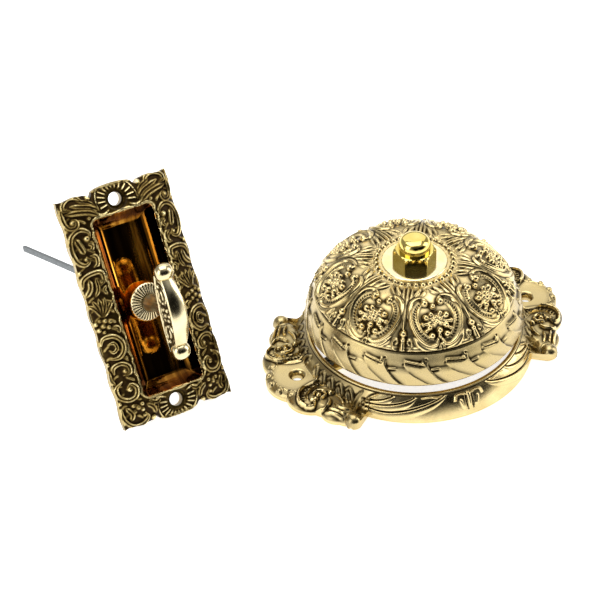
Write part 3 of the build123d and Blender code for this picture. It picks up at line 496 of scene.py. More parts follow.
def buildSkirt(angle, groove):
    # leaves outside, the rim, then the plain inside back up to the flat
    size = gongSizes
    skirt = smoothPath(size["skirt"], size["step"])
    s = distanceAlong(skirt, 0.6)
    leaf = skirtRelief(2 * math.pi * size["beltRadius"] / size["leaves"])
    across = fromNearest(angle, size["leaves"], size["turn"] + 180 / size["leaves"]) * size["beltRadius"]
    down, across = np.broadcast_arrays(s[:, None], across[None, :])
    edge = (np.clip((s - 0.6) / 0.6, 0, 1) * np.clip((s[-1] - s) / 0.7, 0, 1))[:, None]
    rise = leaf.sample(across, down) * edge
    # patina and painted shade in the hollows between the leaves and under the bars
    patinaAndShade = 0.33 + 0.67 * leaf.sample(across, down, hollows(leaf, 0.9, 0.35)) * edge
    inside = np.array(size["inside"])
    points = np.concatenate([groove, revolved(skirt, angle, rise), revolved(inside, angle)])
    # the groove's row is fully dark: painted shade in the crease, with patina
    marks = np.concatenate([np.ones((1, len(angle))), patinaAndShade, np.full((len(inside), len(angle)), 0.3)])
    lower = gridMesh("gong_skirt", points, marks, "frame", bellBrass)
    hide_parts("gong")


def buildFlat(angle):
    # turned flat under the cap nut, its edge broken
    bore, edge, top = gongSizes["bore"], gongSizes["flat"], gongSizes["flatTop"]
    disc = np.array([(bore, top - 2.6), (bore, top), (8.0, top), (11.5, top), (edge - 0.6, top),
                     (edge - 0.1, top - 0.15), (edge, top - 0.45)])
    flat = gridMesh("gong_flat", revolved(disc, angle), np.zeros((len(disc), len(angle))), "frame", flatBrass)
    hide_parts("gong")


def buildGong():
    angle = np.linspace(0, 2 * math.pi, gongSizes["columns"], endpoint=False)
    groove = revolved(np.array([gongSizes["groove"]]), angle)
    buildCrown(angle, groove)
    buildSkirt(angle, groove)
    buildFlat(angle)


buildGong()
print("gong built")


nutSizes = {
    "flats": 17.0,
    "hexHeight": 6.6,
    "height": 13.0,
    "round": 7.2,            # radius of the round end
    "corner": -24.0,         # direction of a corner, degrees
    "fullness": 3.5,         # 2 is half a ball, more is nearer to a short cylinder
    # hexagon from its foot up: height, and the radius that its corners are turned down to
    "chamfer": [(0.0, 99.0), (0.3, 99.0), (5.3, 99.0), (5.9, 9.5), (6.4, 8.8), (6.6, 8.4), (6.6, 7.4)],
    "columns": 360,
}


def buildNut():
    size = nutSizes
    low = gongSizes["flatTop"]
    columns = size["columns"]
    angle = np.linspace(0, 2 * math.pi, columns, endpoint=False)
    hexagon = size["flats"] / 2 / np.cos(math.pi / 6 - np.abs(fromNearest(angle, 6, size["corner"])))
    rows = []
    for z, limit in size["chamfer"]:
        rows.append(np.column_stack([np.minimum(hexagon, limit), np.full(columns, low + z)]))
    power = 2 / size["fullness"]
    for t in np.linspace(0, math.pi / 2, 28):
        r = max(size["round"] * max(math.cos(t), 0) ** power, 0.01)
        z = size["hexHeight"] + (size["height"] - size["hexHeight"]) * math.sin(t) ** power
        rows.append(np.column_stack([np.full(columns, r), np.full(columns, low + z)]))
    profile = np.array(rows)
    r, z = profile[:, :, 0], profile[:, :, 1]
    points = np.stack([r * np.cos(angle), r * np.sin(angle), z], -1)
    nut = gridMesh("cap_nut_polished", points, np.zeros(z.shape), "frame", nutBrass)
    sharpenEdges(nut, 0.35)
    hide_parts("cap_nut")


buildNut()
print("cap nut built")


plateSizes = {
    "halfWidth": 25.9,
    "halfHeight": 52.4,
    "rim": 3.2,              # thickness at the outer edge
    "crest": 8.4,            # height of the lip round the dish
    "floor": 1.6,
    "dish": (14.3, 40.5),    # half sizes at the lip
    "corner": 2.5,
    "slope": 6.4,
    "endSlope": 4.0,
    "hole": (3.0, 46.5),     # radius and distance from the middle
    "seat": (4.3, 4.4),      # radius of the plain ring round a screw hole, and its height
    "stemHole": 3.95,
    "cell": 0.3,
    "streak": 7.0,           # rubbed streak in the dish, from its middle
    "streakHalf": (3.8, 0.6),    # half widths where the rubbing begins and where it is full
    # from rubbed ridge to deep hollow, darkened by patina and painted shade, and from thick to thin lacquer
    "carvedColours": [(0.12, "#DCCB94"), (0.34, "#9C8650"), (0.62, "#54431F"), (0.95, "#2A1E0E")],
    "lacquerColours": [(0.50, "#5A3408"), (0.66, "#A2661A"), (0.82, "#DB9A38")],
    "dishEndShade": "#241507",     # painted shade at the dish's ends and its foot
}

# left border from the top corner down; each entry is points, width, rise
plateStrokes = [
    ([(-14.6, 49.4), (-16.4, 51.9), (-19.8, 52.7), (-23.2, 51.0), (-23.6, 48.4), (-21.0, 47.8)], 1.3, 1.2),
    ([(-25.0, 48.8), (-25.0, 43.6), (-23.6, 40.3), (-20.8, 40.2), (-20.0, 42.6), (-21.8, 43.8)], 1.4, 1.4),
    ([(-23.4, 46.4), (-18.7, 45.9), (-13.8, 44.6), (-10.4, 42.4)], 1.8, 1.3),
    ([(-20.4, 49.2), (-16.4, 48.0), (-12.4, 46.6), (-9.0, 44.0)], 1.5, 1.2),
    ([(-17.0, 50.6), (-12.8, 49.0), (-10.2, 47.0)], 1.2, 1.1),
    ([(-17.2, 33.6), (-16.7, 36.6), (-20.0, 38.6), (-23.8, 36.6), (-25.2, 31.5), (-24.6, 25.9),
      (-22.2, 23.2), (-19.6, 24.4), (-20.4, 26.4)], 1.5, 1.4),
    ([(-22.6, 35.0), (-21.6, 31.4), (-20.8, 28.2)], 1.9, 1.2),
    ([(-18.2, 31.8), (-16.6, 30.6), (-17.6, 28.8)], 1.1, 1.1),
    ([(-18.6, 26.6), (-16.6, 25.6), (-16.8, 22.4), (-18.6, 21.4)], 1.3, 1.2),
    ([(-25.2, 13.6), (-24.4, 17.2), (-21.0, 18.9), (-16.8, 18.6), (-16.2, 15.2), (-18.0, 13.0)], 1.5, 1.4),
    ([(-22.0, 16.4), (-22.6, 12.6), (-25.2, 9.4)], 1.6, 1.3),
    ([(-19.4, 16.4), (-19.6, 11.8), (-21.4, 8.8)], 1.2, 1.1),
    ([(-21.4, -0.6), (-23.2, 3.4), (-25.6, 5.6)], 1.3, 1.2),
    ([(-21.4, -0.6), (-22.2, 4.0), (-23.4, 7.2)], 1.2, 1.2),
    ([(-21.2, -0.6), (-20.8, 4.2), (-20.8, 7.4)], 1.3, 1.2),
    ([(-21.0, -0.6), (-19.2, 3.6), (-18.4, 7.2)], 1.2, 1.2),
    ([(-20.8, -0.8), (-17.8, 2.6), (-15.8, 5.2)], 1.3, 1.2),
    ([(-16.6, 8.6), (-17.4, 10.8), (-16.0, 12.2)], 1.0, 1.0),
    ([(-18.4, -6.0), (-16.4, -7.0), (-16.8, -9.2)], 1.2, 1.1),
    ([(-25.2, -12.8), (-23.6, -10.0), (-19.6, -10.0), (-16.8, -13.0), (-17.0, -17.0), (-20.0, -19.8),
      (-24.4, -19.4)], 1.5, 1.4),
    ([(-22.6, -13.2), (-20.2, -13.0), (-19.4, -15.4), (-21.2, -17.0), (-22.6, -15.8)], 1.1, 1.2),
    ([(-23.6, -26.6), (-23.2, -23.6), (-20.0, -22.6), (-17.2, -24.4), (-17.4, -27.4),
      (-20.0, -28.0)], 1.4, 1.3),
    ([(-25.4, -24.6), (-25.4, -29.0), (-24.2, -31.4)], 1.1, 1.1),
    ([(-21.6, -30.6), (-24.6, -33.2), (-24.4, -37.0), (-21.4, -39.2), (-17.8, -38.2), (-16.6, -34.8),
      (-18.4, -32.6), (-20.6, -34.4)], 1.5, 1.4),
    ([(-25.0, -42.4), (-25.0, -47.6), (-22.2, -51.2), (-17.6, -51.8), (-14.4, -49.4),
      (-15.4, -46.8)], 1.4, 1.4),
    ([(-23.0, -42.6), (-21.2, -46.0), (-22.4, -48.6)], 1.5, 1.2),
    ([(-14.0, -43.2), (-11.6, -45.4), (-10.6, -48.6)], 1.5, 1.2),
    ([(-12.6, -42.0), (-9.6, -43.6), (-7.6, -42.4)], 1.3, 1.1),
]
# its berries: place and radius
plateBalls = [
    (-25.0, 39.4, 1.1), (-21.9, 42.2, 1.5), (-18.2, 34.2, 1.5), (-20.8, 25.4, 1.1), (-25.0, 20.2, 1.3),
    (-17.6, 14.6, 1.2), (-12.0, 50.8, 1.5), (-25.2, -21.9, 1.2), (-17.0, -20.7, 1.0), (-19.0, -26.2, 1.3),
    (-19.4, -34.6, 1.4), (-25.0, -40.0, 1.2), (-12.0, -50.6, 1.5), (-16.0, -48.0, 1.1),
    (-24.8, -3.2, 1.3), (-23.0, -2.2, 1.1), (-21.0, -2.6, 1.3), (-19.0, -3.4, 1.1), (-22.2, -4.6, 1.4),
    (-20.2, -5.6, 1.2), (-24.2, -6.0, 1.3), (-22.4, -7.4, 1.0), (-18.2, -43.6, 1.3), (-16.2, -42.4, 1.1),
    (-16.4, -45.0, 1.1), (-20.0, -42.4, 1.1), (-20.0, -45.0, 1.1), (-14.6, 42.4, 1.0),
]


def plateFrame():
    # middle of the plate's back and its three directions, from the two screw holes in the record
    mounts = {m["name"]: m for m in frame["record"]["mounts"]}
    top, bottom = (np.array(mounts[k]["pos_m"]) / mm for k in ("plate_hole_top", "plate_hole_bottom"))
    normal = np.array(mounts["plate_hole_top"]["axis"], float)
    normal /= np.linalg.norm(normal)
    along = (top - bottom) / np.linalg.norm(top - bottom)
    across = np.cross(along, normal)
    thick = mounts["plate_hole_top"]["dims"]["length_mm"]
    return (top + bottom) / 2 - normal * thick / 2, across, along, normal


def plateRelief():
    relief, channels, leaves = (Relief(-27, 27, -56, 56) for _ in range(3))
    for flip in (1, -1):
        for points, width, rise in plateStrokes:
            path = [(flip * x, y) for x, y in points]
            relief.stroke(path, width * 1.75, rise, 0.35, 0.3, 0.45)
            channels.stroke(path, width * 0.62, 0.75, 0.2, 0.2)
        for x, y, r in plateBalls:
            relief.ball(flip * x, y, r)
    # fluted shells beyond the screw holes, with a rolled arch round them
    for end in (1, -1):
        y = end * plateSizes["hole"][1]
        for k in range(13):
            angle = math.radians(-12 + k * 17)
            c, s = math.cos(angle), end * math.sin(angle)
            relief.stroke([(4.9 * c, y + 4.9 * s), (8.2 * c, y + 8.2 * s)], 1.15, 1.0, 0.5, 1.0)
        arch = []
        for degrees in range(-10, 200, 10):
            angle = math.radians(degrees)
            arch.append((9.3 * math.cos(angle), y + end * min(9.3 * math.sin(angle), 6.6)))
        relief.stroke(arch, 0.9, 1.1, 0.7, 0.7)
        for flip in (1, -1):
            curl = [(5.0, -3.4), (8.0, -4.4), (10.8, -2.8), (11.2, 0.2)]
            relief.stroke([(flip * a, y + end * b) for a, b in curl], 1.2, 1.1)
            relief.ball(flip * 10.6, y - end * 0.6, 1.1)
    # small leaves fill what is left of the ground
    for flip in (1, -1):
        for k in range(22):
            y = -48 + 4.5 * k
            lean = 1.6 * math.sin(2.4 * k)
            foot = 16.2 + 0.5 * math.cos(1.9 * k)
            inner = [(foot, y - 1.4), (17.8, y + lean * 0.3), (19.6, y + 1.3 + lean * 0.4)]
            outer = [(24.9, y + 0.6), (23.6, y + 1.9), (21.9, y + 2.4 - lean * 0.4)]
            leaves.stroke([(flip * a, b) for a, b in inner], 1.5, 0.75, 0.3, 0.3)
            leaves.stroke([(flip * a, b) for a, b in outer], 1.3, 0.65, 0.3, 0.3)
    relief.height = np.maximum(relief.height - channels.height, leaves.height)
    relief.soften(0.12)
    return relief


def plateOutline(xi, eta):
    # shaped edge: shells rise at the two ends, leaves swell along the sides
    size = plateSizes
    u0, v0 = np.abs(xi * size["halfWidth"]), np.abs(eta * size["halfHeight"])
    side = size["halfWidth"] + 0.35 * np.cos(v0 * 2 * math.pi / 15.5) + 0.35 * np.clip(v0 - 46, 0, 6) / 6
    shell = 1.9 * np.clip(1 - (u0 / 9.6) ** 2, 0, 1) ** 0.5
    dip = -1.5 * np.exp(-((u0 - 10.7) / 1.1) ** 2)
    scroll = 0.7 * np.exp(-((u0 - 17.5) / 3.2) ** 2) + 0.6 * np.exp(-((u0 - 26) / 1.2) ** 2)
    return xi * side, eta * (size["halfHeight"] - 0.6 + shell + dip + scroll)


def plateSurface(u, v):
    # height over the flat back, and grime, of each point
    size = plateSizes
    relief = plateRelief()
    # patina and painted shade in the carving's hollows
    marks = hollows(relief, 0.9, 0.87, ground=0.62)
    # distance inwards from the dish's edge, with round corners: negative on the border
    corner = size["corner"]
    overU, overV = np.abs(u) - size["dish"][0] + corner, np.abs(v) - size["dish"][1] + corner
    inward = corner - np.hypot(np.clip(overU, 0, None), np.clip(overV, 0, None))
    inward -= np.clip(np.maximum(overU, overV), None, 0)
    outer = np.minimum(size["halfWidth"] - np.abs(u), size["halfHeight"] - np.abs(v))
    share = np.clip(outer / np.maximum(outer - inward, 0.1), 0, 1)      # 0 at the outer edge, 1 at the lip
    border = size["rim"] + (size["crest"] - size["rim"]) * np.sin(share * math.pi / 2)
    endShare = np.clip(size["dish"][1] - np.abs(v), 0, None) / size["endSlope"]
    fall = np.clip(np.minimum(inward / size["slope"], endShare), 0, 1)
    dish = size["crest"] - (size["crest"] - size["floor"]) * (1 - (1 - fall) ** 2)
    height = np.where(inward > 0, np.maximum(dish, size["floor"]), border)
    # the lip round the dish waves a little, and the carving stops short of it
    wave = 0.3 * np.sin(v * 0.62) + 0.22 * np.sin(v * 1.31 + 1.0) + 0.25 * np.sin(u * 0.55 + 0.6)
    lip = np.clip(1 - ((inward + 0.75 + wave) / 0.5) ** 2, 0, 1) ** 0.5
    rise = relief.sample(u, v) * np.clip(-inward / 1.2, 0, 1)
    # plain rings round the screw holes
    holeAway = np.minimum(np.hypot(u, v - size["hole"][1]), np.hypot(u, v + size["hole"][1]))
    seatRadius, seatHeight = size["seat"]
    beyond = np.clip((holeAway - seatRadius) / 0.5, 0, 1)
    height = (height + np.maximum(rise, 0.55 * lip)) * beyond + seatHeight * (1 - beyond)
    patinaAndShade = np.where(lip > 0.3, 0.1, relief.sample(u, v, marks)) * beyond + 0.5 * (1 - beyond)
    patinaAndShade = np.where(outer < 0.35, 0.15, patinaAndShade)
    # below -1 the dish darkens with painted shade towards its two ends and its foot
    ends = np.clip((np.abs(v) - 31.0) / 7.0, 0, 1) + 0.45 * np.clip((-6.0 - v) / 22.0, 0, 1) * (u > -11.0)
    patinaAndShade = np.where(inward > 0.05, -1.0 - np.clip(ends, 0, 1), np.clip(patinaAndShade, 0, 1))
    return height, patinaAndShade


def openHoles(u, v):
    # points inside a hole go, and what is left of its edge moves onto its circle
    keep = np.ones(u.shape, bool)
    screw, reach = plateSizes["hole"]
    for radius, y in ((screw, reach), (screw, -reach), (plateSizes["stemHole"], 0.0)):
        away = np.hypot(u, v - y)
        keep &= away > radius - 0.02
        near = (away > 0.01) & (away < radius + 0.14)
        u = np.where(near, u * radius / np.maximum(away, 0.01), u)
        v = np.where(near, y + (v - y) * radius / np.maximum(away, 0.01), v)
        keep |= near & (away > radius - 0.30)
    return u, v, keep


def closeBack(mesh, middle, normal):
    # side walls down to the flat back, then the back itself
    bm = bmesh.new()
    bm.from_mesh(mesh)
    bmesh.ops.delete(bm, geom=[p for p in bm.verts if not p.link_faces], context="VERTS")
    edges = [e for e in bm.edges if e.is_boundary]
    walls = bmesh.ops.extrude_edge_only(bm, edges=edges)["geom"]
    origin, facing = Vector(middle * mm), Vector(normal)
    patinaAndShadeLayer = bm.verts.layers.float["patinaAndShade"]
    for item in walls:
        if isinstance(item, bmesh.types.BMVert):
            item.co -= facing * (item.co - origin).dot(facing)
            item[patinaAndShadeLayer] = 0.25
    rim = [e for e in walls if isinstance(e, bmesh.types.BMEdge) and e.is_boundary]
    filled = bmesh.ops.triangle_fill(bm, use_beauty=True, use_dissolve=False, edges=rim)["geom"]
    back = {f for f in filled if isinstance(f, bmesh.types.BMFace)}
    bmesh.ops.recalc_face_normals(bm, faces=bm.faces)
    for face in bm.faces:
        face.smooth = face not in back
    for e in bm.edges:
        e.smooth = e.calc_face_angle(0) < 0.9
    bm.to_mesh(mesh)
    bm.free()


def buildPlate():
    size = plateSizes
    nu = int(2 * size["halfWidth"] / size["cell"]) + 1
    nv = int(2 * size["halfHeight"] / size["cell"]) + 1
    xi, eta = np.meshgrid(np.linspace(-1, 1, nu), np.linspace(-1, 1, nv))
    u, v = plateOutline(xi, eta)
    height, patinaAndShade = plateSurface(u, v)
    u, v, keep = openHoles(u, v)
    index = np.arange(nu * nv).reshape(nv, nu)
    whole = keep[:-1, :-1] & keep[:-1, 1:] & keep[1:, 1:] & keep[1:, :-1]
    quads = np.stack([index[:-1, :-1], index[:-1, 1:], index[1:, 1:], index[1:, :-1]], -1)[whole]
    middle, across, along, normal = plateFrame()
    points = middle + sum(np.multiply.outer(part.ravel(), way)
                          for part, way in ((u, across), (v, along), (height, normal)))
    material = antiqueBrass(middle, across, along)
    piece = meshPiece("plate_casting", points, quads.tolist(), patinaAndShade, "frame", material)
    closeBack(piece.data, middle, normal)
    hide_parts("face_plate")


def antiqueBrass(middle, across, along):
    # border: nearly black old patina and painted shade, with ridges rubbed to pale brass; dish: polished,
    # lacquered amber-brown, with painted shade at its ends
    material, tree, shader = newMaterial("antiqued_brass_lacquered_dish")
    place = addNode(tree, "NewGeometry", out="Position")
    sideways, lengthways = (addNode(tree, "VectorMath", {0: place, 1: tuple(way)}, out="Value",
                                    operation="DOT_PRODUCT") for way in (across, along))
    # the polish runs along the plate, so its streaks are drawn out that way
    stretched = addNode(tree, "Math", {0: lengthways, 1: 0.08}, operation="MULTIPLY")
    streakPlace = addNode(tree, "CombineXYZ", {0: sideways, 1: stretched})
    streak = addNode(tree, "TexNoise", {"Vector": streakPlace, "Scale": scaleOf("brushStreak"),
                                        "Detail": 5.0})
    broad = addNode(tree, "TexNoise", {"Vector": streakPlace, "Scale": scaleOf("brushBand"), "Detail": 2.0})
    cloud = addNode(tree, "TexNoise", {"Vector": place, "Scale": scaleOf("platePatch"), "Detail": 4.0})
    fine = addNode(tree, "TexNoise", {"Vector": place, "Scale": scaleOf("plateGrain"), "Detail": 6.0})
    # darkness from the mesh: patina and painted shade on the border, painted shade at the dish's ends
    patinaAndShade = addNode(tree, "Attribute", out="Fac", attribute_name="patinaAndShade")
    inDish = addNode(tree, "MapRange", {"Value": patinaAndShade, "From Min": 0.0, "From Max": -0.8})
    amount = addNode(tree, "Math", {0: cloud, 1: 0.24, 2: patinaAndShade}, operation="MULTIPLY_ADD")
    carved = addNode(tree, "ValToRGB", {"Fac": amount}, stops=plateSizes["carvedColours"])
    mixed = addNode(tree, "Math", {0: broad, 1: 0.35, 2: streak}, operation="MULTIPLY_ADD")
    amber = addNode(tree, "ValToRGB", {"Fac": mixed}, stops=plateSizes["lacquerColours"])
    # painted shade darkens the lacquer towards the dish's ends and foot
    dishEndShade = addNode(tree, "MapRange", {"Value": patinaAndShade, "From Min": -1.0, "From Max": -2.0, "To Max": 0.85})
    lacquer = addNode(tree, "Mix", {0: dishEndShade, 6: amber, 7: plateSizes["dishEndShade"]}, out=2, data_type="RGBA")
    colour = addNode(tree, "Mix", {0: inDish, 6: carved, 7: lacquer}, out=2, data_type="RGBA")
    carvedRough = addNode(tree, "MapRange", {"Value": amount, "To Min": 0.22, "To Max": 0.5})
    # polish rubbed through in a wandering streak along the dish
    begins, full = (half * mm for half in plateSizes["streakHalf"])
    centre = (float(np.dot(middle, across)) + plateSizes["streak"]) * mm
    aside = addNode(tree, "Math", {0: sideways, 1: -centre}, operation="ADD")
    wander = addNode(tree, "Math", {0: broad, 1: 4 * mm, 2: aside}, operation="MULTIPLY_ADD")
    reach = addNode(tree, "Math", {0: wander}, operation="ABSOLUTE")
    rubbed = addNode(tree, "MapRange", {"Value": reach, "From Min": begins, "From Max": full})
    streaked = addNode(tree, "Math", {0: rubbed, 1: streak}, operation="MULTIPLY")
    dishRough = addNode(tree, "MapRange", {"Value": streaked, "To Min": 0.03, "To Max": 0.62})
    rough = addNode(tree, "Mix", {0: inDish, 2: carvedRough, 3: dishRough}, data_type="FLOAT")
    bump = addNode(tree, "Bump", {"Strength": 0.3, "Distance": 0.06 * mm, "Height": fine})
    wireMetal(tree, shader, colour, rough, bump)
    return material


buildPlate()
print("plate built")


ringSizes = {
    "bore": 47.6,
    "lip": (49.6, 11.9),     # outer radius and height of the raised lip
    "foot": (55.0, 1.2),
    "flangeRadius": 52.5,    # middle of the steep flange
    "hole": (59.7, 2.5, 3.9),    # reach, radius, countersink radius of an ear's hole
    "ball": (50.2, 37.5, 3.8),
    # lobes of an ear: reach, offset, radius
    "lobes": [(59.7, 0.0, 14.5), (58.0, 12.5, 12.2), (52.5, 27.0, 8.0), (50.5, 32.0, 5.5), (54.0, 20.0, 9.0)],
    "edgeBalls": (12.9, 1.55, 26.0, 4),     # circle round the hole, radius, degrees apart, count each way
    "columns": 1216,
    "rows": 60,
}


def edgeBalls():
    circle, radius, step, count = ringSizes["edgeBalls"]
    reach = ringSizes["hole"][0]
    turns = [math.radians(step * k) for k in range(count + 1)]
    return [(reach + circle * math.cos(t), abs(circle * math.sin(t)), radius) for t in turns]


def earRelief():
    # right ear: x is the distance from the bell's middle, y runs along the ear
    relief, pits = Relief(40, 78, -45, 45), Relief(40, 78, -45, 45)
    arch = [(65.4, 21.0), (67.0, 17.0), (65.0, 12.2), (60.6, 9.3), (55.2, 8.0), (50.8, 9.2), (48.4, 12.4)]
    pitRow = smoothPath([(64.9, 17.4), (63.2, 13.2), (59.4, 10.9), (55.0, 10.1), (51.4, 11.4)], 1.5)
    holeReach = ringSizes["hole"][0]
    circle, _, step, count = ringSizes["edgeBalls"]
    for side in (1, -1):
        def put(points, width, rise, start=0.5, end=0.6):
            relief.stroke([(x, side * y) for x, y in points], width, rise, start, end)
        # arch of the cartouche, its inner rim and the row of pits between them
        put(arch, 1.6, 2.1, 0.8, 0.9)
        put([(63.2, 18.0), (62.2, 14.6), (58.6, 12.3), (54.6, 12.0), (51.8, 13.8)], 0.9, 1.5, 0.6, 0.6)
        for x, y in pitRow:
            pits.stamp(x, side * y, 0.55, 1.0)
        put([(65.4, 21.0), (62.8, 22.2), (61.0, 20.4), (62.0, 18.8)], 1.4, 1.8, 0.9, 0.9)
        relief.ball(48.6, side * 14.6, 2.1, 2.7)
        # curled leaf and knobs in its hollow
        put([(60.2, 16.4), (57.6, 14.9), (54.8, 16.0), (54.8, 18.8), (57.4, 20.0)], 1.4, 1.6, 0.6, 0.9)
        relief.ball(57.6, side * 17.4, 1.2, 1.7)
        relief.ball(52.2, side * 18.6, 1.4, 1.8)
        relief.ball(60.0, side * 19.2, 1.2, 1.6)
        # leaves between the cartouche and the corner ball
        put([(62.0, 24.2), (59.0, 26.0), (56.0, 24.6), (54.6, 22.2)], 1.6, 1.7, 0.4, 0.9)
        put([(59.4, 28.0), (56.8, 31.0), (54.0, 35.0)], 1.3, 1.3, 0.6, 0.3)
        put([(57.0, 27.2), (54.8, 30.4), (52.2, 34.0)], 1.1, 1.2, 0.6, 0.3)
        put([(53.8, 26.0), (52.6, 29.4), (50.0, 32.4)], 1.3, 1.3, 0.6, 0.4)
        put([(50.6, 21.0), (50.0, 25.0), (50.8, 28.4)], 1.4, 1.2, 0.7, 0.4)
        put([(48.0, 18.4), (47.4, 23.0), (48.0, 27.0)], 1.1, 1.0, 0.7, 0.4)
        # small leaves on the inner side of the hole
        put([(49.8, 1.4), (51.6, 3.6), (50.6, 6.0)], 1.2, 1.0, 0.4, 0.8)
        put([(47.4, 2.6), (48.6, 4.6), (47.6, 7.0)], 1.1, 0.9, 0.4, 0.8)
        # thin cord inside the edge balls, one bow from each ball to the next
        for k in range(count):
            bow = []
            for share, reach in ((0.08, circle - 1.8), (0.5, circle - 1.1), (0.92, circle - 1.8)):
                turn = math.radians(step * (k + share))
                bow.append((holeReach + reach * math.cos(turn), reach * math.sin(turn)))
            put(bow, 0.42, 0.55, 0.8, 0.8)
    relief.stroke([(47.2, 0), (51.6, 0)], 1.1, 1.0)
    relief.height -= pits.height
    relief.soften(0.13)
    return relief


def flangeRelief():
    # half of the steep flange between the ears: a in degrees from the front, b in mm down from the lip
    relief, grooves = Relief(-84, 84, -0.5, 12), Relief(-84, 84, -0.5, 12)
    arc = math.radians(1) * ringSizes["flangeRadius"]
    leafLines = [[(54, 8.0), (42, 8.4), (32, 7.2), (22, 4.8), (15, 2.2), (11.2, -0.4)],
                 [(54, 6.6), (44, 6.0), (36, 4.6), (30, 2.4), (26.4, -0.4)],
                 [(54, 5.4), (46, 4.2), (41, 2.2), (37.4, -0.4)]]
    for side in (1, -1):
        def put(points, width, rise, start=0.6, end=0.3):
            relief.stroke([(side * a * arc, b) for a, b in points], width, rise, start, end)
        # rib that climbs from the corner ball to the lip
        put([(54.8, 9.4), (52.6, 6.4), (49.6, 3.4), (45.8, 0.4)], 1.1, 1.2, 0.9, 0.5)
        put([(57.5, 8.4), (56.4, 5.0), (54.6, 1.6)], 1.3, 0.9, 0.7, 0.5)
        put([(24, 1.4), (20, 0.9), (15.6, 1.5), (12.6, 0.5)], 0.8, 0.4)
        # curled leaves beside the ear
        for a in range(60, 90, 6):
            put([(a - 1.6, 8.6), (a - 0.8, 5.4), (a + 1.8, 3.0), (a + 3.2, 4.6)], 1.5, 1.0, 0.4, 0.9)
            put([(a + 1.0, 8.2), (a + 2.6, 6.4)], 1.2, 0.8, 0.5, 0.9)
        # fleur at the front
        put([(7.4, 4.6), (6.4, 2.4), (3.4, 2.0), (1.0, 3.2)], 1.1, 0.8, 0.9, 0.4)
        put([(4.6, 5.2), (4.0, 7.0), (3.2, 8.6)], 1.4, 0.6, 0.8, 0.2)
        grooves.stroke([(side * 1.6, 3.2), (side * 1.7, 6.0), (side * 1.2, 9.2)], 0.5, 0.6, 0.6, 0.4)
        # long leaves: a line cut above each, and the leaf swells below it
        for points in leafLines:
            path = [(side * a * arc, b) for a, b in points]
            grooves.stroke(path, 0.7, 0.8, 0.8, 0.6)
            relief.stroke([(x, b + 1.5) for x, b in path], 2.6, 0.3, 0.6, 0.3)
    relief.stroke([(0, 2.2), (0.1, 5.0), (0, 9.0)], 1.7, 0.8, 0.9, 0.4)
    relief.height -= grooves.height
    relief.soften(0.13)
    return relief


def furthest(start, circles, c, s):
    # how far the outline reaches in each direction: to the furthest of the circles, or to start
    reached = start
    for cx, cy, r in circles:
        ahead = cx * np.abs(c) + cy * np.abs(s)
        aside = cx * np.abs(s) - cy * np.abs(c)
        hit = np.where(np.abs(aside) < r, ahead + np.sqrt(np.clip(r ** 2 - aside ** 2, 0, None)), 0)
        reached = np.maximum(reached, hit)
    return reached


def ringSurface(reach, c, s):
    # flange and ears with their carving: points and grime
    size = ringSizes
    x, y = reach * c, reach * s
    lipRadius, lipHeight = size["lip"]
    # flange: falls steeply from the lip to the foot, a little hollow at first
    drop = np.clip((reach - lipRadius) / (size["foot"][0] - lipRadius), 0, 1)
    flange = lipHeight - 1.0 - (lipHeight - 1.0 - size["foot"][1]) * (0.5 * drop + 0.5 * drop ** 2.2)
    # ear: nearly flat, rolling down to its edge
    inside = np.full(x.shape, -50.0)
    for cx, cy, r in size["lobes"]:
        inside = np.maximum(inside, r - np.hypot(np.abs(x) - cx, np.abs(y) - cy))
    ear = np.where(inside > -0.6, 1.6 + 3.2 * np.clip((inside + 0.1) / 3.4, 0, 1) ** 0.5, -1)
    holeAway = np.hypot(np.abs(x) - size["hole"][0], y)
    seat = 4.3 + 0.035 * np.clip(holeAway - 5, 0, None) ** 1.6
    ear = np.where(holeAway < 11, np.minimum(ear, seat), ear)
    onEar = np.clip((ear - flange) / 0.9 + 0.6, 0, 1)
    onFlange = np.clip(1.25 - onEar, 0, 1)
    z = np.maximum(flange, ear)

    carving, leaves = earRelief(), flangeRelief()
    # patina and painted shade in the hollows of the ears' carving
    earMarks = hollows(carving, 0.9, 0.91, ground=0.34)
    beyondHole = np.clip((holeAway - 9.2) / 1.2, 0, 1)
    z = z + carving.sample(np.abs(x), y) * onEar * beyondHole * np.clip((reach - 50.2) / 1.2, 0, 1)
    patinaAndShade = carving.sample(np.abs(x), y, earMarks) * onEar * (0.8 + 0.2 * beyondHole)
    # painted shade darkens the flange beside the ears
    fromFront = np.where(y < 0, np.arctan2(x, -y), np.arctan2(x, y))
    patinaAndShade = np.maximum(patinaAndShade, 0.5 * np.clip((np.abs(np.degrees(fromFront)) - 46) / 8, 0, 1) * (1 - onEar))
    along, down = fromFront * size["flangeRadius"], drop * 10.5
    # patina and painted shade in the hollows of the flange's leaves
    leafHollow = hollows(leaves, 0.9, 0.35)
    leafRise = leaves.sample(along, down) * onFlange
    patinaAndShade = np.maximum(patinaAndShade, leaves.sample(along, down, leafHollow) * onFlange)
    x, y, z = x + leafRise * 0.85 * c, y + leafRise * 0.85 * s, z + leafRise * 0.5
    # balls on the corners and along the tip, each with a ring of painted shade and patina round its foot
    for cx, cy, r in [size["ball"]] + edgeBalls():
        base = 2.6 if r > 3 else 3.4
        away = np.hypot(np.abs(x) - cx, np.abs(y) - cy) / r
        z = np.where(away < 1, np.maximum(z, base + r * np.sqrt(np.clip(1 - away ** 2, 0, 1))), z)
        patinaAndShade = np.maximum(patinaAndShade, 0.8 * np.clip(1 - np.abs(away - 1.12) / 0.2, 0, 1) * (inside > 0.4))
    return np.stack([x, y, np.maximum(z, 0.4)], -1), np.clip(patinaAndShade, 0, 1)


